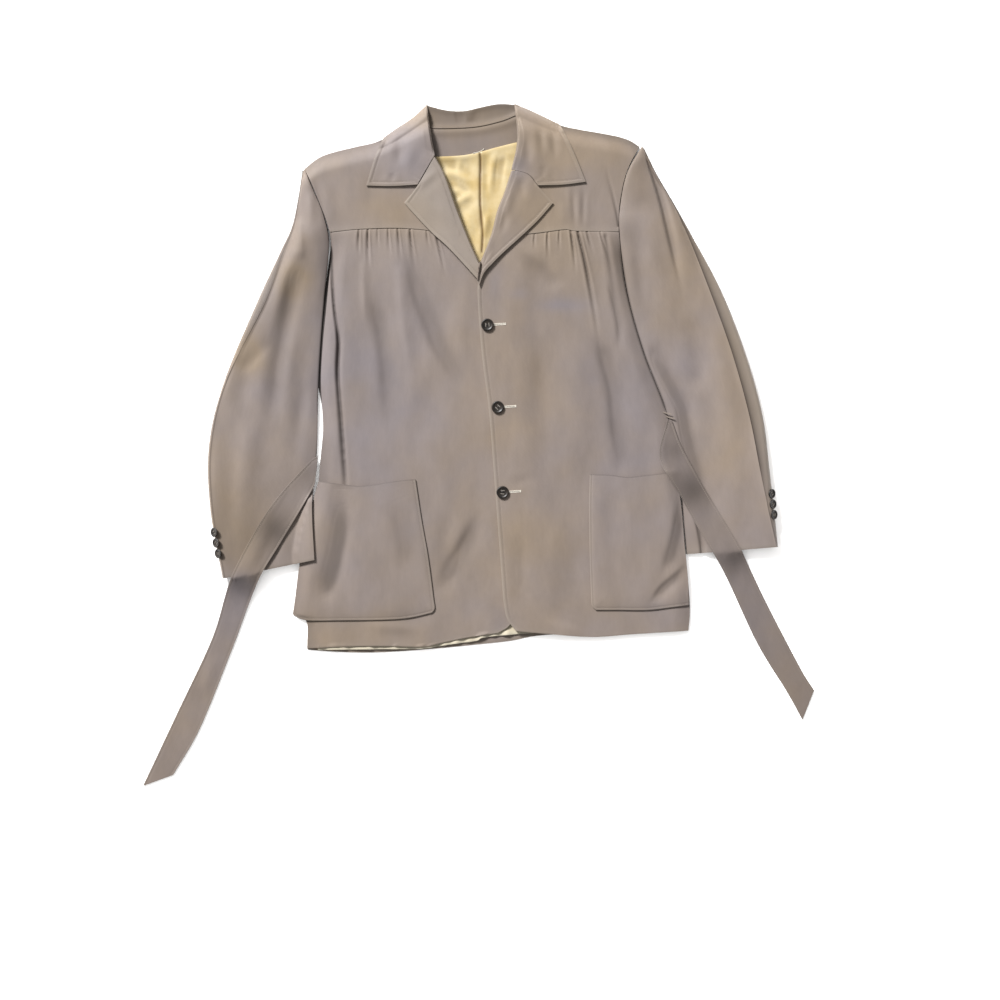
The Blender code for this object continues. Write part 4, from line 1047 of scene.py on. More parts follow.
# %% Turned leaves
LAPEL_ROLL, ROLL_KEEP = 2.8, 14.0
LAPEL_START, COLLAR_START = 7.0, 9.5
LIFT_REACH, GORGE_REACH, TOP_ROLL = 40, 14, 16
CLOSE = np.linspace(0, 1, 900)
LEFT_LAPEL_LIFT, RIGHT_LAPEL_LIFT, COLLAR_LIFT = 3.6, 1.8, 4.0
LAPEL_CREASES = (
    (-96, 366, -72, 380, -54, 400, 5, 0.7), (60, 386, 62, 370, 66, 350, 6, -1.3),
    (46, 378, 46, 350, 36, 318, 5, 0.9), (40, 340, 38, 318, 30, 296, 5, -0.9),
    (-70, 352, -44, 330, -24, 296, 10, 0.7),
)
COLLAR_CREASES = (
    (-112, 448, -116, 424, -112, 398, 6, -1.2), (-92, 440, -96, 414, -104, 392, 8, 1.0),
    (66, 450, 74, 420, 72, 392, 6, -1.5), (86, 462, 92, 440, 94, 412, 5, -1.0),
    (104, 454, 110, 432, 112, 408, 5, -1.1), (92, 404, 94, 392, 92, 380, 4, -0.8),
    (-126, 392, -124, 384, -124, 376, 4, -0.7),
)


def held_out(rest, apart):
    """Near its roll line a leaf keeps the height that it has further in."""
    for row, far in zip(rest, apart):
        inside = far > ROLL_KEEP
        if inside.any():
            level = row[inside][far[inside].argmin()]
            row[~inside] = np.maximum(row[~inside], level - 0.06 * (ROLL_KEEP - far[~inside]))
    return rest


def leaf(name, xy, roll, start, below, lift, free_edge, table, paler_by_wear_and_highlight=0.0, top=None, gorge=None):
    """A leaf turned over at its roll line, and let down to its top seam and gorge seam."""
    apart = distance_to(xy, edge(roll)(CLOSE))[0]
    rest = held_out(bridged(lay(xy, below), 40), apart)
    over = rest + lift * hump(apart, LIFT_REACH) + 0.6
    z = start + (np.maximum(over, start + 4) - start) * rounded(apart / LAPEL_ROLL)
    rise = creases(xy, table)
    outer = distance_to(xy, edge(*free_edge)(CLOSE))[0]
    z = z + rise * soft(outer / 8) + swelled(outer) + 0.4 * slow_waves(xy)
    if top is not None:
        from_top = distance_to(xy, edge(top)(CLOSE))[0]
        z = EDGE_HEIGHT + 0.4 + (z - EDGE_HEIGHT - 0.4) * rounded(from_top / TOP_ROLL)
    if gorge is not None:
        line, lapel = gorge
        seam = edge(line)(CLOSE)
        far, along = distance_to(xy, seam)
        level = highest(seam[None] - (0, 3), [lapel])[0] - CLOTH
        level = level[(along * (len(seam) - 1)).round().astype(int)]
        z = z + (level - z) * hump(far, GORGE_REACH)
    z = np.maximum(z, bridged(lay(xy, below), 8))
    # paler all over by the given painted highlight, and paler along the free edge and roll line from wear and
    # painted highlight
    wear = paler_by_wear_and_highlight + 0.4 * fading(outer, 2) + 0.12 * fading(apart, 3)
    laid_sheet(name, xy, z, wear=wear)


left_roll = ((-62, 415.5),) + LEFT_ROLL[3:6] + ((2, 262),)
lapel_top = edge((LEFT_LAPEL_TIP, (-87, 373.5), (-62, 415.5)))
lapel_low = edge((LEFT_LAPEL_OUTER[-1], (2, 262)))
xy = patch(lapel_top, lapel_low, edge(LEFT_LAPEL_OUTER), edge(left_roll), shares(60, 0.75), shares(96, 0.4))
below = ["yoke_left", "front_left", "back_lining"]
edges = ((LEFT_GORGE, LEFT_LAPEL_TIP), LEFT_LAPEL_OUTER)
# the left lapel is painted paler all over as a highlight
leaf("lapel_left", xy, left_roll, LAPEL_START, below, LEFT_LAPEL_LIFT, edges, LAPEL_CREASES, 0.35)

right_roll = ((47, 395),) + RIGHT_ROLL[3:]
lapel_top = edge(((47, 395), (71.5, 388.6), (85.4, 372.3), RIGHT_LAPEL_TIP))
lapel_low = edge((RIGHT_BREAK, (-1, 240), RIGHT_LAPEL_OUTER[-1]))
xy = patch(lapel_top, lapel_low, edge(right_roll), edge(RIGHT_LAPEL_OUTER), shares(60, 0.75), shares(96, 0.4))
below = ["yoke_right", "front_right", "front_left", "lapel_left", "back_lining"]
edges = ((RIGHT_GORGE, RIGHT_LAPEL_TIP), RIGHT_LAPEL_OUTER)
leaf("lapel_right", xy, right_roll, LAPEL_START, below, RIGHT_LAPEL_LIFT, edges, LAPEL_CREASES)

left_gorge, left_roll = (LEFT_ROLL[2], LEFT_GORGE), LEFT_ROLL[:3]
top, low, outer = edge(LEFT_COLLAR_TOP[::-1]), edge(LEFT_COLLAR_LOW), edge(LEFT_COLLAR_OUTER)
xy = patch(top, low, outer, edge(left_roll, left_gorge), shares(66, 0.75), shares(80, 0.5))
leaf(
    "collar_left", xy, left_roll, COLLAR_START, inner_layers + ["yoke_left", "collar_stand"], COLLAR_LIFT,
    (LEFT_COLLAR_OUTER, LEFT_COLLAR_LOW), COLLAR_CREASES, top=LEFT_COLLAR_TOP,
    gorge=(left_gorge, "lapel_left"),
)
right_gorge, right_roll = ((47.4, 395.4), (72, 389), RIGHT_GORGE), RIGHT_ROLL[:2] + ((47.4, 395.4),)
top, low, outer = edge(RIGHT_COLLAR_TOP), edge(RIGHT_COLLAR_LOW), edge(RIGHT_COLLAR_OUTER)
xy = patch(top, low, edge(right_roll, right_gorge), outer, shares(66, 0.75), shares(80, 0.5))
leaf(
    "collar_right", xy, right_roll, COLLAR_START, inner_layers + ["yoke_right", "collar_stand"], COLLAR_LIFT,
    (RIGHT_COLLAR_OUTER, RIGHT_COLLAR_LOW[::-1]), COLLAR_CREASES, top=RIGHT_COLLAR_TOP,
    gorge=(right_gorge, "lapel_right"),
)

# %% [markdown]
# ## Two-piece sleeves
# A tailored sleeve has a wide top sleeve and a narrow under sleeve. Laid flat, the under sleeve lies
# on the table and rolls up round the outer edge, where a strip of it shows beside the hind-arm seam.
# The top sleeve arches over it. Stations from shoulder to cuff give both edges and the heights.

# %% Sleeve stations and creases
# inner x, inner y, outer x, outer y, strip of under sleeve on top, roll radius, crown, inner edge height,
# and how far the under sleeve's inner edge draws back from the top sleeve's
LEFT_SLEEVE = (
    (-252.4, 399, -256, 395, 2.0, 1.2, 5, 2.2, 0), (-240.2, 370, -261, 359, 2, 3.5, 14, 10, 0),
    (-224, 330, -270, 316, 2, 4.0, 17, 11, 0), (-216.6, 286, -286, 280, 5, 5.0, 18, 8, 1),
    (-224.5, 209, -321, 204, 12, 6.0, 17, 2.2, 4), (-232, 107, -368, 91, 2.5, 6.0, 16, 2.2, 4.5),
    (-234.5, 6, -390, -1, 2, 6.5, 16, 2.2, 0), (-241, -81, -388, -93, 2, 8.0, 17, 2.2, 0),
    (-237, -168, -370, -195, 2, 8.0, 17, 2.2, 0),
)
RIGHT_SLEEVE = (
    (236, 430, 240, 430, 2.0, 1.2, 5, 2.2, 0), (214.8, 391, 257, 394, 2, 3.5, 14, 10, 0),
    (205.2, 345, 286, 344, 2, 4.0, 17, 11, 0), (204.3, 306, 308, 304, 6, 4.5, 18, 8, 0),
    (215.6, 223, 350, 225, 17, 5.5, 18, 2.2, 0), (239.6, 136, 386, 132, 20.5, 7.0, 17, 2.2, 0),
    (273.6, 46, 411, 42, 20.5, 7.0, 16, 2.2, 0), (289.7, -38, 422, -48, 14, 9.0, 18, 2.2, 0),
    (302.4, -160, 433, -149, 2, 9.0, 18, 2.2, 0),
)
# points, width left and right of the way, rise
SLEEVE_FOLDS = {
    "left": (
        (((-262, 345), (-292, 268), (-318, 205), (-350, 140)), 9, 4, -1.8),
        (((-300, 150), (-325, 122), (-352, 104)), 8, 12, -0.9),
        (((-266, 262), (-274, 212), (-283, 156), (-292, 110), (-297, 63), (-300, 20)), 16, 11, -2.7),
        (((-262, 330), (-256, 290), (-258, 262)), 6, 9, 1.0),
    ),
    "right": (
        (((241, 424), (248, 405), (263, 356), (273, 313), (283, 270), (296, 214)), 7, 3.2, -3.4),
        (((314, -96), (320, -125), (324, -150), (325, -172)), 4, 2.2, -3.4),
        (
            ((246, 150), (258, 118), (281, 76), (293, 52), (300, 13), (312, -34), (328, -73), (352, -120)),
            15, 6, -4.0,
        ),
        (((300, 190), (318, 120), (312, 70)), 18, 14, -1.4),
    ),
}
# start x, y, bend x, y, end x, y, width, rise
LEFT_SLEEVE_CREASES = (
    (-250, 320, -282, 230, -312, 130, 10, 1.5), (-270, 190, -274, 110, -284, 30, 11, 1.4),
    (-340, 130, -330, 90, -350, 40, 12, -1.2), (-322, 60, -340, -20, -336, -110, 14, 1.3),
    (-250, 100, -262, 30, -268, -40, 10, -1.3), (-290, -100, -300, -150, -296, -180, 8, -0.9),
    (-350, 20, -362, -60, -356, -160, 12, -1.0), (-246, 366, -242, 340, -240, 310, 6, 0.9),
)
RIGHT_SLEEVE_CREASES = (
    (252, 410, 286, 330, 316, 230, 8, 1.2), (240, 330, 256, 240, 290, 160, 12, 1.2),
    (300, 180, 330, 100, 350, 20, 14, -1.2), (330, 160, 362, 80, 380, -30, 14, 1.2),
    (318, 0, 336, -70, 346, -140, 12, -1.1), (360, -20, 372, -80, 376, -140, 12, 0.9),
    (226, 300, 232, 250, 244, 190, 8, -1.0),
)
# painted shade at dark places: x, y, reach, shade
SLEEVE_SHADE = {
    "left": ((-362, -150, 70, 0.26), (-330, -60, 40, 0.08)),
    "right": ((235, 354, 13, 0.15), (219, 302, 18, 0.14), (318, -140, 22, 0.12)),
}


def station_line(table, column):
    """One column of a sleeve table as a smooth function of the share from shoulder to cuff."""
    line = smooth_line([(i / (len(table) - 1), row[column]) for i, row in enumerate(table)])
    return lambda share: np.interp(share, line[:, 0], line[:, 1])


print("sleeve stations", len(LEFT_SLEEVE), len(RIGHT_SLEEVE))

# %% Sleeves
SLEEVE_ROWS, TOP_COLUMNS, EVENED_ROWS = 160, 76, 8
SLEEVE_LENGTH = 620


def dark_places(xy, table):
    """Where the cloth loses light, from a table of places."""
    return sum(amount * np.exp(-(((xy - (x, y)) / reach) ** 2).sum(-1)) for x, y, reach, amount in table)


def sleeve(side, table, below, crease_table, strip_low, seam_shade):
    """Both sheets of a sleeve, row by row from the shoulder to the cuff."""
    down = np.linspace(0, 1, SLEEVE_ROWS + 1)
    column = [station_line(table, k)(down) for k in range(9)]
    inner, outer = np.stack(column[0:2], -1), np.stack(column[2:4], -1)
    strip, roll, crown, start, drawn_back = column[4:9]
    width = np.linalg.norm(outer - inner, axis=-1)
    across = (outer - inner) / width[:, None]
    order = -1 if side == "right" else 1

    # the under sleeve runs along the table, round the outer edge and on to the hind-arm seam
    floor_at = drawn_back[:, None] + shares(26, 0.3)[None] * (width - roll - drawn_back)[:, None]
    xy = inner[:, None] + floor_at[..., None] * across[:, None]
    rest = bridged(np.maximum(lay(xy, below), 0), 12) if below else np.zeros(xy.shape[:2])
    turn_end = np.arccos(np.clip(1 - strip / roll, 0, 1))
    arc = -np.pi / 2 + (turn_end + np.pi / 2)[:, None] * np.linspace(0, 1, 19)[None, 1:]
    round_at = (width - roll)[:, None] + roll[:, None] * np.cos(arc)
    round_z = (CLOTH / 2 + roll)[:, None] + roll[:, None] * np.sin(arc)
    rest = rest * np.clip((floor_at[:, -1:] - floor_at) / 12, 0, 1)
    strip_share, flat_strip = np.linspace(0, 1, 7)[None, 1:], np.maximum(strip - roll, 0.6)
    strip_at = round_at[:, -1:] - strip_share * (flat_strip * np.sin(turn_end))[:, None]
    strip_z = round_z[:, -1:] + strip_share * (flat_strip * (np.cos(turn_end) + 0.18))[:, None]
    reach = np.hstack([floor_at, round_at, strip_at])
    height = np.hstack([rest + CLOTH / 2, round_z, strip_z])
    run, rise = np.gradient(reach, axis=1), np.gradient(height, axis=1)
    size = np.hypot(run, rise)
    out_at, out_z = reach + rise / size * CLOTH / 2, height - run / size * CLOTH / 2
    out_at[:, -1], out_z[:, -1] = reach[:, -1], height[:, -1] + CLOTH / 2
    xy = inner[:, None] + out_at[..., None] * across[:, None]
    # painted shade along the hind-arm seam on the under sleeve's strip, and a painted highlight further out
    # on it
    from_seam = np.where(height > CLOTH + 1, reach[:, -1:] - reach, -99)
    shade = seam_shade * np.exp(from_seam / 5) * soft((xy[..., 1] - strip_low) / 80)
    wear = 0.5 * seam_shade * np.where(from_seam > -90, 1 - np.exp(from_seam / 7), 0)
    under = np.dstack([xy, np.maximum(out_z, 0)])[:, ::order]
    cloth("sleeve_under_" + side, under, wear=wear[:, ::order], shade=shade[:, ::order])

    # the top sleeve arches from the armhole and side over to that seam
    part = shares(TOP_COLUMNS, 0.5)
    from_inner, from_hind = part[None] * width[:, None], (1 - part)[None] * width[:, None]
    xy = inner[:, None] + (part[None] * (reach[:, -1] - LAP)[:, None])[..., None] * across[:, None]
    body = highest((inner - 9 * across)[None], ["yoke_" + side, "front_" + side])[0] - CLOTH
    body = np.convolve(np.pad(body, EVENED_ROWS, mode="edge"), np.ones(2 * EVENED_ROWS + 1), "valid")
    body = body / (2 * EVENED_ROWS + 1)
    flush = np.maximum(body - start, 0) * soft((inner[:, 1] - 160) / 120)
    seam_height = height[:, -1] - CLOTH / 2
    base = start[:, None] + (seam_height - start)[:, None] * part[None]
    base = base + flush[:, None] * hump(from_inner, 30)
    level = (seam_height + start + np.hypot(seam_height - start, 4)) / 2
    swell = (crown - level)[:, None] * np.sin(np.pi * part)[None] ** 0.6
    fold = folds(xy, SLEEVE_FOLDS[side], 0.2, 0.3)
    rise = creases(xy, crease_table) + fold
    lip = 0.5 * hump(from_hind, 4)
    loose = soft(part / 0.12)[None] * soft((1 - part) / 0.06)[None] * soft(down / 0.1)[:, None]
    z = base + np.maximum(swell, 0) + (1.4 * rise + 0.8 * slow_waves(xy)) * loose + lip
    z = np.maximum(z, lay(xy, ["sleeve_under_" + side]))
    wear = 0.3 * fading((1 - down)[:, None] * SLEEVE_LENGTH, 3) + 0.1 * fading(from_hind, 2)
    # painted shade: beside the body, in the deeper folds, and at the listed dark places
    beside_body = 0.6 * hump(from_inner, 1.6)
    shade = beside_body * (soft((inner[:, 1] - 40) / 20) * soft((300 - inner[:, 1]) / 60))[:, None]
    shade = np.maximum(shade, 0.3 * soft((-fold - 0.8) / 3) * loose) + dark_places(xy, SLEEVE_SHADE[side])
    top = np.dstack([xy, z + CLOTH])[:, :: -order]
    cloth("sleeve_top_" + side, top, wear=wear[:, :: -order], shade=shade[:, :: -order])


sleeve("left", LEFT_SLEEVE, ["back", "front_left", "pocket_left"], LEFT_SLEEVE_CREASES, 110, 0.6)
sleeve("right", RIGHT_SLEEVE, None, RIGHT_SLEEVE_CREASES, -90, 0.8)

# %% [markdown]
# ## Belt ties
# Each tie is a flat double strip about 38 mm wide. The left one runs over the sleeve and drops to the
# table beyond the cuff; the right one comes out of the side seam and runs down over its sleeve.
# Both end in a slanted point. They bridge the steps they cross.

# %% Belt
BELT_COLUMNS, BELT_ROWS = 26, 230
BELT_LIFT = 0.8
LEFT_BELT_CREASES = (
    (-262, -60, -272, -96, -300, -120, 8, -1.2), (-300, -110, -322, -160, -344, -200, 9, 1.0),
    (-380, -300, -392, -340, -404, -372, 9, 0.8), (-420, -400, -438, -440, -446, -460, 9, -0.6),
)
RIGHT_BELT_CREASES = (
    (276, 10, 284, -30, 306, -70, 7, -1.0), (330, -100, 352, -140, 374, -190, 9, 0.8),
    (410, -260, 430, -300, 444, -330, 9, -0.6),
)
# painted shade in the hollows of the ties: x, y, reach, shade
LEFT_BELT_SHADE = ((-296, -124, 28, 0.5), (-256, -42, 16, 0.1), (-342, -206, 16, 0.22))
RIGHT_BELT_SHADE = ((287, -8, 14, 0.16), (314, -66, 24, 0.4), (368, -168, 12, 0.12))


def belt(name, left, right, table, below, dim, dark):
    """A tie between its two long edges, laid over all that it crosses."""
    first, last = edge((left[0], right[0])), edge((left[-1], right[-1]))
    xy = patch(first, last, edge(left), edge(right), shares(BELT_COLUMNS, 0.5), shares(BELT_ROWS, 0.2))
    rest = bridged(np.maximum(lay(xy, below), 0), 160)
    apart = from_sides(xy, ("left", "right"))
    rise = creases(xy, table)
    waves = 0.3 * slow_waves(xy) * soft(apart / 8)
    z = rest + np.maximum(rise, 0) + BELT_LIFT + waves + swelled(apart, BELT_STITCH, 0.2)
    # the tie is darker all over by dim, and painted shade lies in its hollows
    shade = dim + dark_places(xy, dark)
    laid_sheet(name, xy, np.maximum(z, rest), wear=0.12 * fading(apart, 2), shade=shade)


body = ["front_left", "front_right", "pocket_left", "pocket_right", "back"]
arms = ["sleeve_top_left", "sleeve_under_left", "sleeve_top_right", "sleeve_under_right"]
belt(
    "belt_left", LEFT_BELT_UPPER, LEFT_BELT_LOWER, LEFT_BELT_CREASES, arms + body, 0.12, LEFT_BELT_SHADE,
)
belt(
    "belt_right", RIGHT_BELT_LOWER, RIGHT_BELT_UPPER, RIGHT_BELT_CREASES, arms + body, 0.24,
    RIGHT_BELT_SHADE,
)

# %% [markdown]
# ## Horn buttons
# A button is turned on a lathe, so its outline is spun round an axis: a rounded rim, a dished face and
# a flat back. Four sewing holes are bored through it, and grey thread runs across the holes in two
# bars. The three front buttons lie nearly level, and those on the cuffs tilt over the sleeve's edge.

# %% Button form
BUTTON_ACROSS, BUTTON_HIGH = 18.0, 3.2
CUFF_BUTTON_ACROSS, CUFF_BUTTON_HIGH = 14.0, 2.6
CUFF_BUTTON_TILT = 38.0
FRONT_BUTTONS = ((13, 172), (28, 53), (35, -70))
LEFT_CUFF_SHARES, RIGHT_CUFF_SHARES = (0.919, 0.9375, 0.956), (0.906, 0.9245, 0.943)
# sewing holes: radius and distance from the middle, as shares of the button's width
BORE_RADIUS, BORE_OUT = 0.062, 0.19
# share of the radius, share of the height
BUTTON_PROFILE = (
    (0.0, 0.0), (0.6, 0.0), (0.82, 0.1), (0.94, 0.28), (1.0, 0.58), (0.985, 0.8), (0.93, 0.95), (0.86, 1.0),
    (0.78, 0.95), (0.7, 0.8), (0.62, 0.7), (0.4, 0.64), (0.0, 0.62),
)


def put(bm, name, material):
    """Turn a bmesh in millimetres into a finished piece on the jacket."""
    bmesh.ops.scale(bm, verts=bm.verts, vec=(MM, MM, MM))
    mesh = bpy.data.meshes.new(name)
    bm.to_mesh(mesh)
    bm.free()
    mesh.materials.append(material)
    piece = bpy.data.objects.new(name, mesh)
    studio.collection.objects.link(piece)
    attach(piece, "root")
    return piece


def turned_button(across, high):
    """A button with four holes, its back at the origin and its face up."""
    bm = bmesh.new()
    points = [bm.verts.new((r * across / 2, 0, z * high)) for r, z in BUTTON_PROFILE]
    lines = [bm.edges.new(pair) for pair in zip(points, points[1:])]
    bmesh.ops.spin(
        bm, geom=points + lines, cent=(0, 0, 0), axis=(0, 0, 1), angle=math.tau, steps=40, use_merge=True,
    )
    bmesh.ops.remove_doubles(bm, verts=bm.verts, dist=1e-4)
    bmesh.ops.recalc_face_normals(bm, faces=bm.faces)
    body = bpy.data.meshes.new("button_body")
    bm.to_mesh(body)
    bm.free()
    holes = bmesh.new()
    for quarter in range(4):
        turn = Matrix.Rotation(math.radians(45 + 90 * quarter), 4, "Z")
        bmesh.ops.create_cone(
            holes, segments=14, cap_ends=True, radius1=BORE_RADIUS * across, radius2=BORE_RADIUS * across,
            depth=4 * high, matrix=turn @ Matrix.Translation((BORE_OUT * across, 0, 0)),
        )
    bores = bpy.data.meshes.new("button_bores")
    holes.to_mesh(bores)
    holes.free()
    blank, drill = bpy.data.objects.new("button_blank", body), bpy.data.objects.new("button_drill", bores)
    studio.collection.objects.link(blank)
    studio.collection.objects.link(drill)
    cut = blank.modifiers.new("bore", "BOOLEAN")
    cut.object, cut.operation, cut.solver = drill, "DIFFERENCE", "EXACT"
    bored = bpy.data.meshes.new_from_object(blank.evaluated_get(bpy.context.evaluated_depsgraph_get()))
    bpy.data.objects.remove(blank)
    bpy.data.objects.remove(drill)
    return bored


front_form = turned_button(BUTTON_ACROSS, BUTTON_HIGH)
cuff_form = turned_button(CUFF_BUTTON_ACROSS, CUFF_BUTTON_HIGH)
print("button faces", len(front_form.polygons), "on the front,", len(cuff_form.polygons), "on the cuff")

# %% Place the buttons and their thread
THREAD_BAR = 0.55
PROBE = 40


def place_button(node, form, across, high, seat, normal, spin, below):
    """Seat a button just clear of the cloth, and sew it on with two bars of thread."""
    turn = Vector((0, 0, 1)).rotation_difference(normal).to_matrix().to_4x4()
    turn = turn @ Matrix.Rotation(math.radians(spin), 4, "Z")
    lift = 0.0
    for around in np.arange(16) * math.tau / 16:
        for radius in (0.0, 0.31, 0.47):
            low = Vector((radius * across * math.cos(around), radius * across * math.sin(around), 0))
            start = seat + turn @ low + normal * PROBE
            ground = surfaces[below].ray_cast(start, -normal)[0]
            lift = max(lift, PROBE - (start - ground).length) if ground else lift
    where = Matrix.Translation(seat + normal * (lift + GAP)) @ turn
    bm = bmesh.new()
    bm.from_mesh(form)
    for face in bm.faces:
        face.smooth = len(face.verts) <= 4
    bmesh.ops.transform(bm, matrix=where, verts=bm.verts)
    piece = put(bm, node + "_horn", horn)
    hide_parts(node)
    bm = bmesh.new()
    for offset in (-0.135 * across, 0.135 * across):
        for strand in (-0.6, 0.0, 0.6):
            bar = Matrix.Translation((0, offset + strand * THREAD_BAR, 0.66 * high + 0.12 * (strand == 0)))
            bmesh.ops.create_cone(
                bm, segments=6, cap_ends=True, radius1=THREAD_BAR / 2, radius2=THREAD_BAR / 2,
                depth=0.32 * across, matrix=where @ bar @ Matrix.Rotation(math.pi / 2, 4, "Y"),
            )
    put(bm, node + "_thread", threads["grey_cotton_thread"])


def front_seat(xy):
    """Where a front button sits, and the cloth's mean slope round it."""
    hit, normal, _, _ = surfaces["front_right"].ray_cast((*xy, SKY), DOWN)
    total = normal.copy()
    for around in np.arange(8) * math.tau / 8:
        near = (xy[0] + 6 * math.cos(around), xy[1] + 6 * math.sin(around), SKY)
        total += surfaces["front_right"].ray_cast(near, DOWN)[1] or normal
    return hit, total.normalized()


def cuff_seat(table, share):
    """Where a cuff button sits on the rolled edge of its sleeve."""
    row = [float(station_line(table, k)(share)) for k in range(8)]
    outward = Vector((row[2] - row[0], row[3] - row[1], 0)).normalized()
    tilt = math.radians(CUFF_BUTTON_TILT)
    normal = outward * math.sin(tilt) + Vector((0, 0, 1)) * math.cos(tilt)
    centre = Vector((row[2], row[3], CLOTH / 2 + row[5])) - outward * row[5]
    return centre + normal * (row[5] + CLOTH / 2), normal


for number, at in enumerate(FRONT_BUTTONS, 1):
    place_button(
        f"button_{number}", front_form, BUTTON_ACROSS, BUTTON_HIGH, *front_seat(at),
        55 + 40 * number, "front_right",
    )
cuffs = (("left", LEFT_SLEEVE, LEFT_CUFF_SHARES), ("right", RIGHT_SLEEVE, RIGHT_CUFF_SHARES))
for side, stations, places in cuffs:
    for number, share in enumerate(places, 1):
        place_button(
            f"cuff_{side}_{number}", cuff_form, CUFF_BUTTON_ACROSS, CUFF_BUTTON_HIGH,
            *cuff_seat(stations, share), 30 * number, "sleeve_under_" + side,
        )
print("buttons placed", len(FRONT_BUTTONS) + len(LEFT_CUFF_SHARES) + len(RIGHT_CUFF_SHARES))

# %% [markdown]
# ## Sewing
# A stitch is a short length of thread that dips at both ends, here a five-sided rod half sunk in the
# cloth. Rows of them follow the front edge, lapels, collar, pockets and belt at the width that a
# machine foot gives. The buttonholes are worked in pale thread: close stitches along both lips of a
# slit, with a bar across the end.

# %% Stitch rows
STITCH, STITCH_PITCH, STITCH_THICK = 2.2, 3.0, 0.42


def rod(bm, a, b, thick, segments=5):
    """One thread from a to b."""
    a, b = Vector(a), Vector(b)
    turn = (b - a).to_track_quat("Z", "Y").to_matrix().to_4x4()
    bmesh.ops.create_cone(
        bm, segments=segments, cap_ends=True, radius1=thick / 2, radius2=thick / 2, depth=(b - a).length,
        matrix=Matrix.Translation((a + b) / 2) @ turn,
    )


def stitch_line(xyz, side, inset):
    """The line on a sheet at a set distance from one of its sides."""
    rows = seen_from(xyz, side)
    apart = from_side(rows[..., :2], "left")
    return np.array([[np.interp(inset, far, row[:, k]) for k in range(3)] for far, row in zip(apart, rows)])


def stitches(bm, line):
    """Rods along a line, one each pitch."""
    far = np.concatenate([[0], np.cumsum(np.linalg.norm(np.diff(line, axis=0), axis=1))])
    for start in np.arange(STITCH_PITCH, far[-1] - STITCH - STITCH_PITCH, STITCH_PITCH):
        a, b = ([np.interp(at, far, line[:, k]) for k in range(3)] for at in (start, start + STITCH))
        rod(bm, a, b, STITCH_THICK)


# piece: sides with a row of stitches, distance from the edge
SEWN = {
    "front_right": (("left",), EDGE_STITCH),
    "lapel_left": (("left",), EDGE_STITCH),
    "lapel_right": (("right",), EDGE_STITCH),
    "collar_left": (("left", "low"), EDGE_STITCH),
    "collar_right": (("right", "low"), EDGE_STITCH),
    "pocket_left": (("right", "low"), POCKET_STITCH),
    "pocket_right": (("left", "low"), POCKET_STITCH),
    "belt_left": (("left", "right"), BELT_STITCH),
    "belt_right": (("left", "right"), BELT_STITCH),
}
FACES_PER_STITCH = 7
sewn_on = {}
for name, (sides, inset) in SEWN.items():
    bm = bmesh.new()
    for side in sides:
        stitches(bm, stitch_line(grids[name], side, inset))
    print(name, len(bm.faces) // FACES_PER_STITCH, "stitches")
    sewn_on[name] = [put(bm, name + "_stitching", threads["taupe_cotton_thread"])]

# %% Buttonholes
HOLE_LENGTH, HOLE_PITCH, HOLE_SLOPE = 17.0, 0.62, 0.06
LIP, HOLE_THREAD = 1.2, 0.75


def on_front(x, y, up=0.1):
    """A point just above the right front."""
    return (x, y, surfaces["front_right"].ray_cast((x, y, SKY), DOWN)[0].z + up)


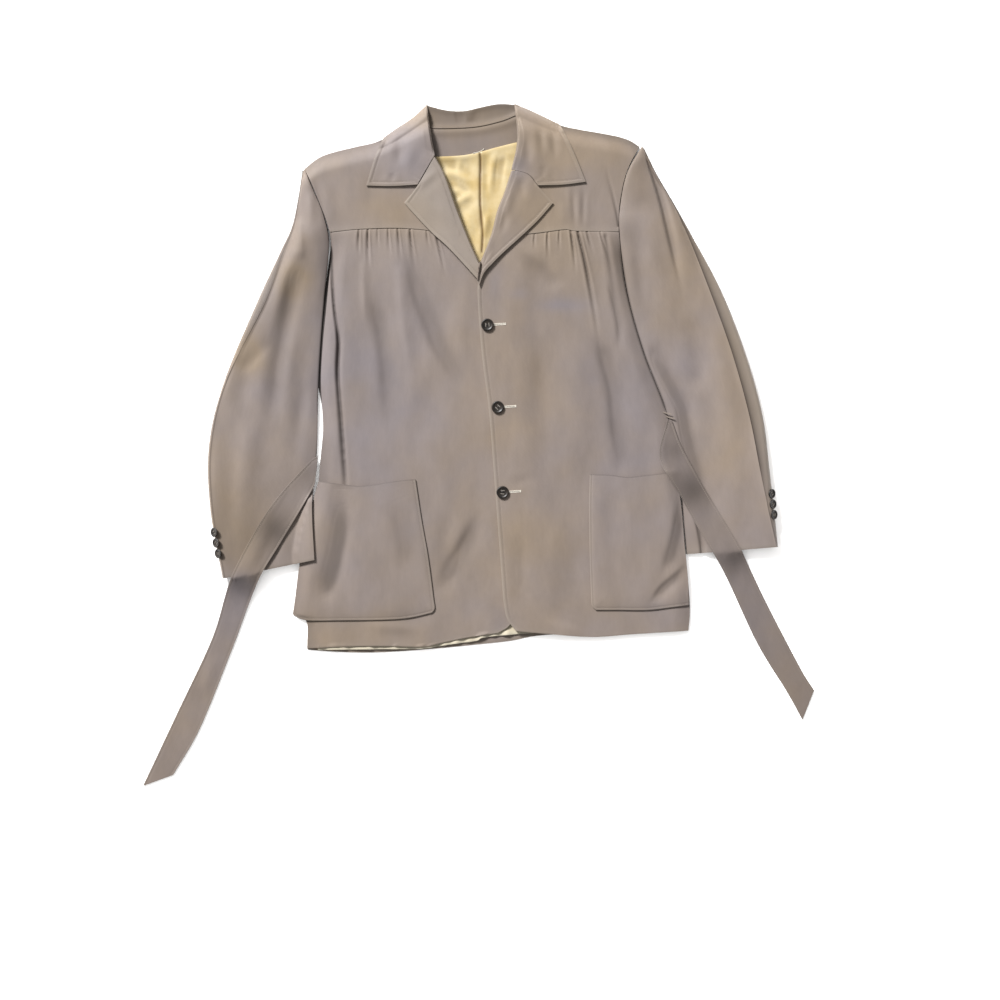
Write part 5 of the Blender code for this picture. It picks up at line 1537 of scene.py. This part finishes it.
for number, (x, y) in enumerate(FRONT_BUTTONS, 1):
    first, last = x + BUTTON_ACROSS / 2 - 2.0, x + BUTTON_ACROSS / 2 + HOLE_LENGTH
    bm, slit = bmesh.new(), bmesh.new()
    for along in np.arange(first, last, HOLE_PITCH):
        middle = y + HOLE_SLOPE * (along - x)
        for lip in (LIP, -LIP):
            near, far = on_front(along, middle + 0.25 * lip), on_front(along, middle + 1.3 * lip)
            rod(bm, near, far, HOLE_THREAD)
        # a dark rod down the middle of each slit is painted shadow
        rod(slit, on_front(along, middle, -0.05), on_front(along + HOLE_PITCH, middle, -0.05), 0.5)
    end = y + HOLE_SLOPE * (last - x)
    for step in (-0.5, 0.0, 0.5):
        rod(bm, on_front(last + step, end - 1.7), on_front(last + step, end + 1.7), HOLE_THREAD)
    sewn_on["front_right"] += [
        put(bm, f"buttonhole_{number}", threads["pale_cotton_thread"]),
        put(slit, f"buttonhole_slit_{number}", threads["shadowed_slit"]),
    ]
print("buttonholes", len(FRONT_BUTTONS))

# %% Thread carrier and thread bar
# The right tie leaves the side seam through a carrier of thread, and a short bar of thread is left
# at the top of the lining, where a loop was sewn.
bm = bmesh.new()
for x, y in ((277, 46), (281, 40)):
    low = surfaces["front_right"].ray_cast((x - 8, y, SKY), DOWN)[0]
    height = max(low.z if low else 4.0, 4.0)
    for strand in (-0.5, 0.5):
        rod(bm, (x - 9, y + strand, height + 0.4), (x + 3, y - 3 + strand, 8.5), 0.8, 6)
put(bm, "belt_carrier", threads["taupe_cotton_thread"])
bm = bmesh.new()
bar = np.array([(-8, 421.5), (-4, 422.5), (0, 423.5), (4, 425.5), (7, 427.5), (8, 429)])
bar = np.column_stack([bar, highest(bar[None], ["neck_facing", "back_lining"])[0] + 0.35])
for a, b in zip(bar, bar[1:]):
    rod(bm, a, b, 1.1, 6)
put(bm, "lining_thread_bar", threads["pale_cotton_thread"])
print("carrier and thread bar made")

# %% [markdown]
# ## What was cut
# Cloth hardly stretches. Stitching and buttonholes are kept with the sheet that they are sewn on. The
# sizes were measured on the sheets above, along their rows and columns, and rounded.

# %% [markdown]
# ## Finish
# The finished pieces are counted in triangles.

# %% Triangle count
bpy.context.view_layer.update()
made = [o for o in studio.objects if o.type == "MESH" and o.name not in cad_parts]
triangles = {o.name: sum(len(p.vertices) - 2 for p in o.data.polygons) for o in made}
print("triangles", sum(triangles.values()), "in all,", max(triangles.values()), "in the largest piece")
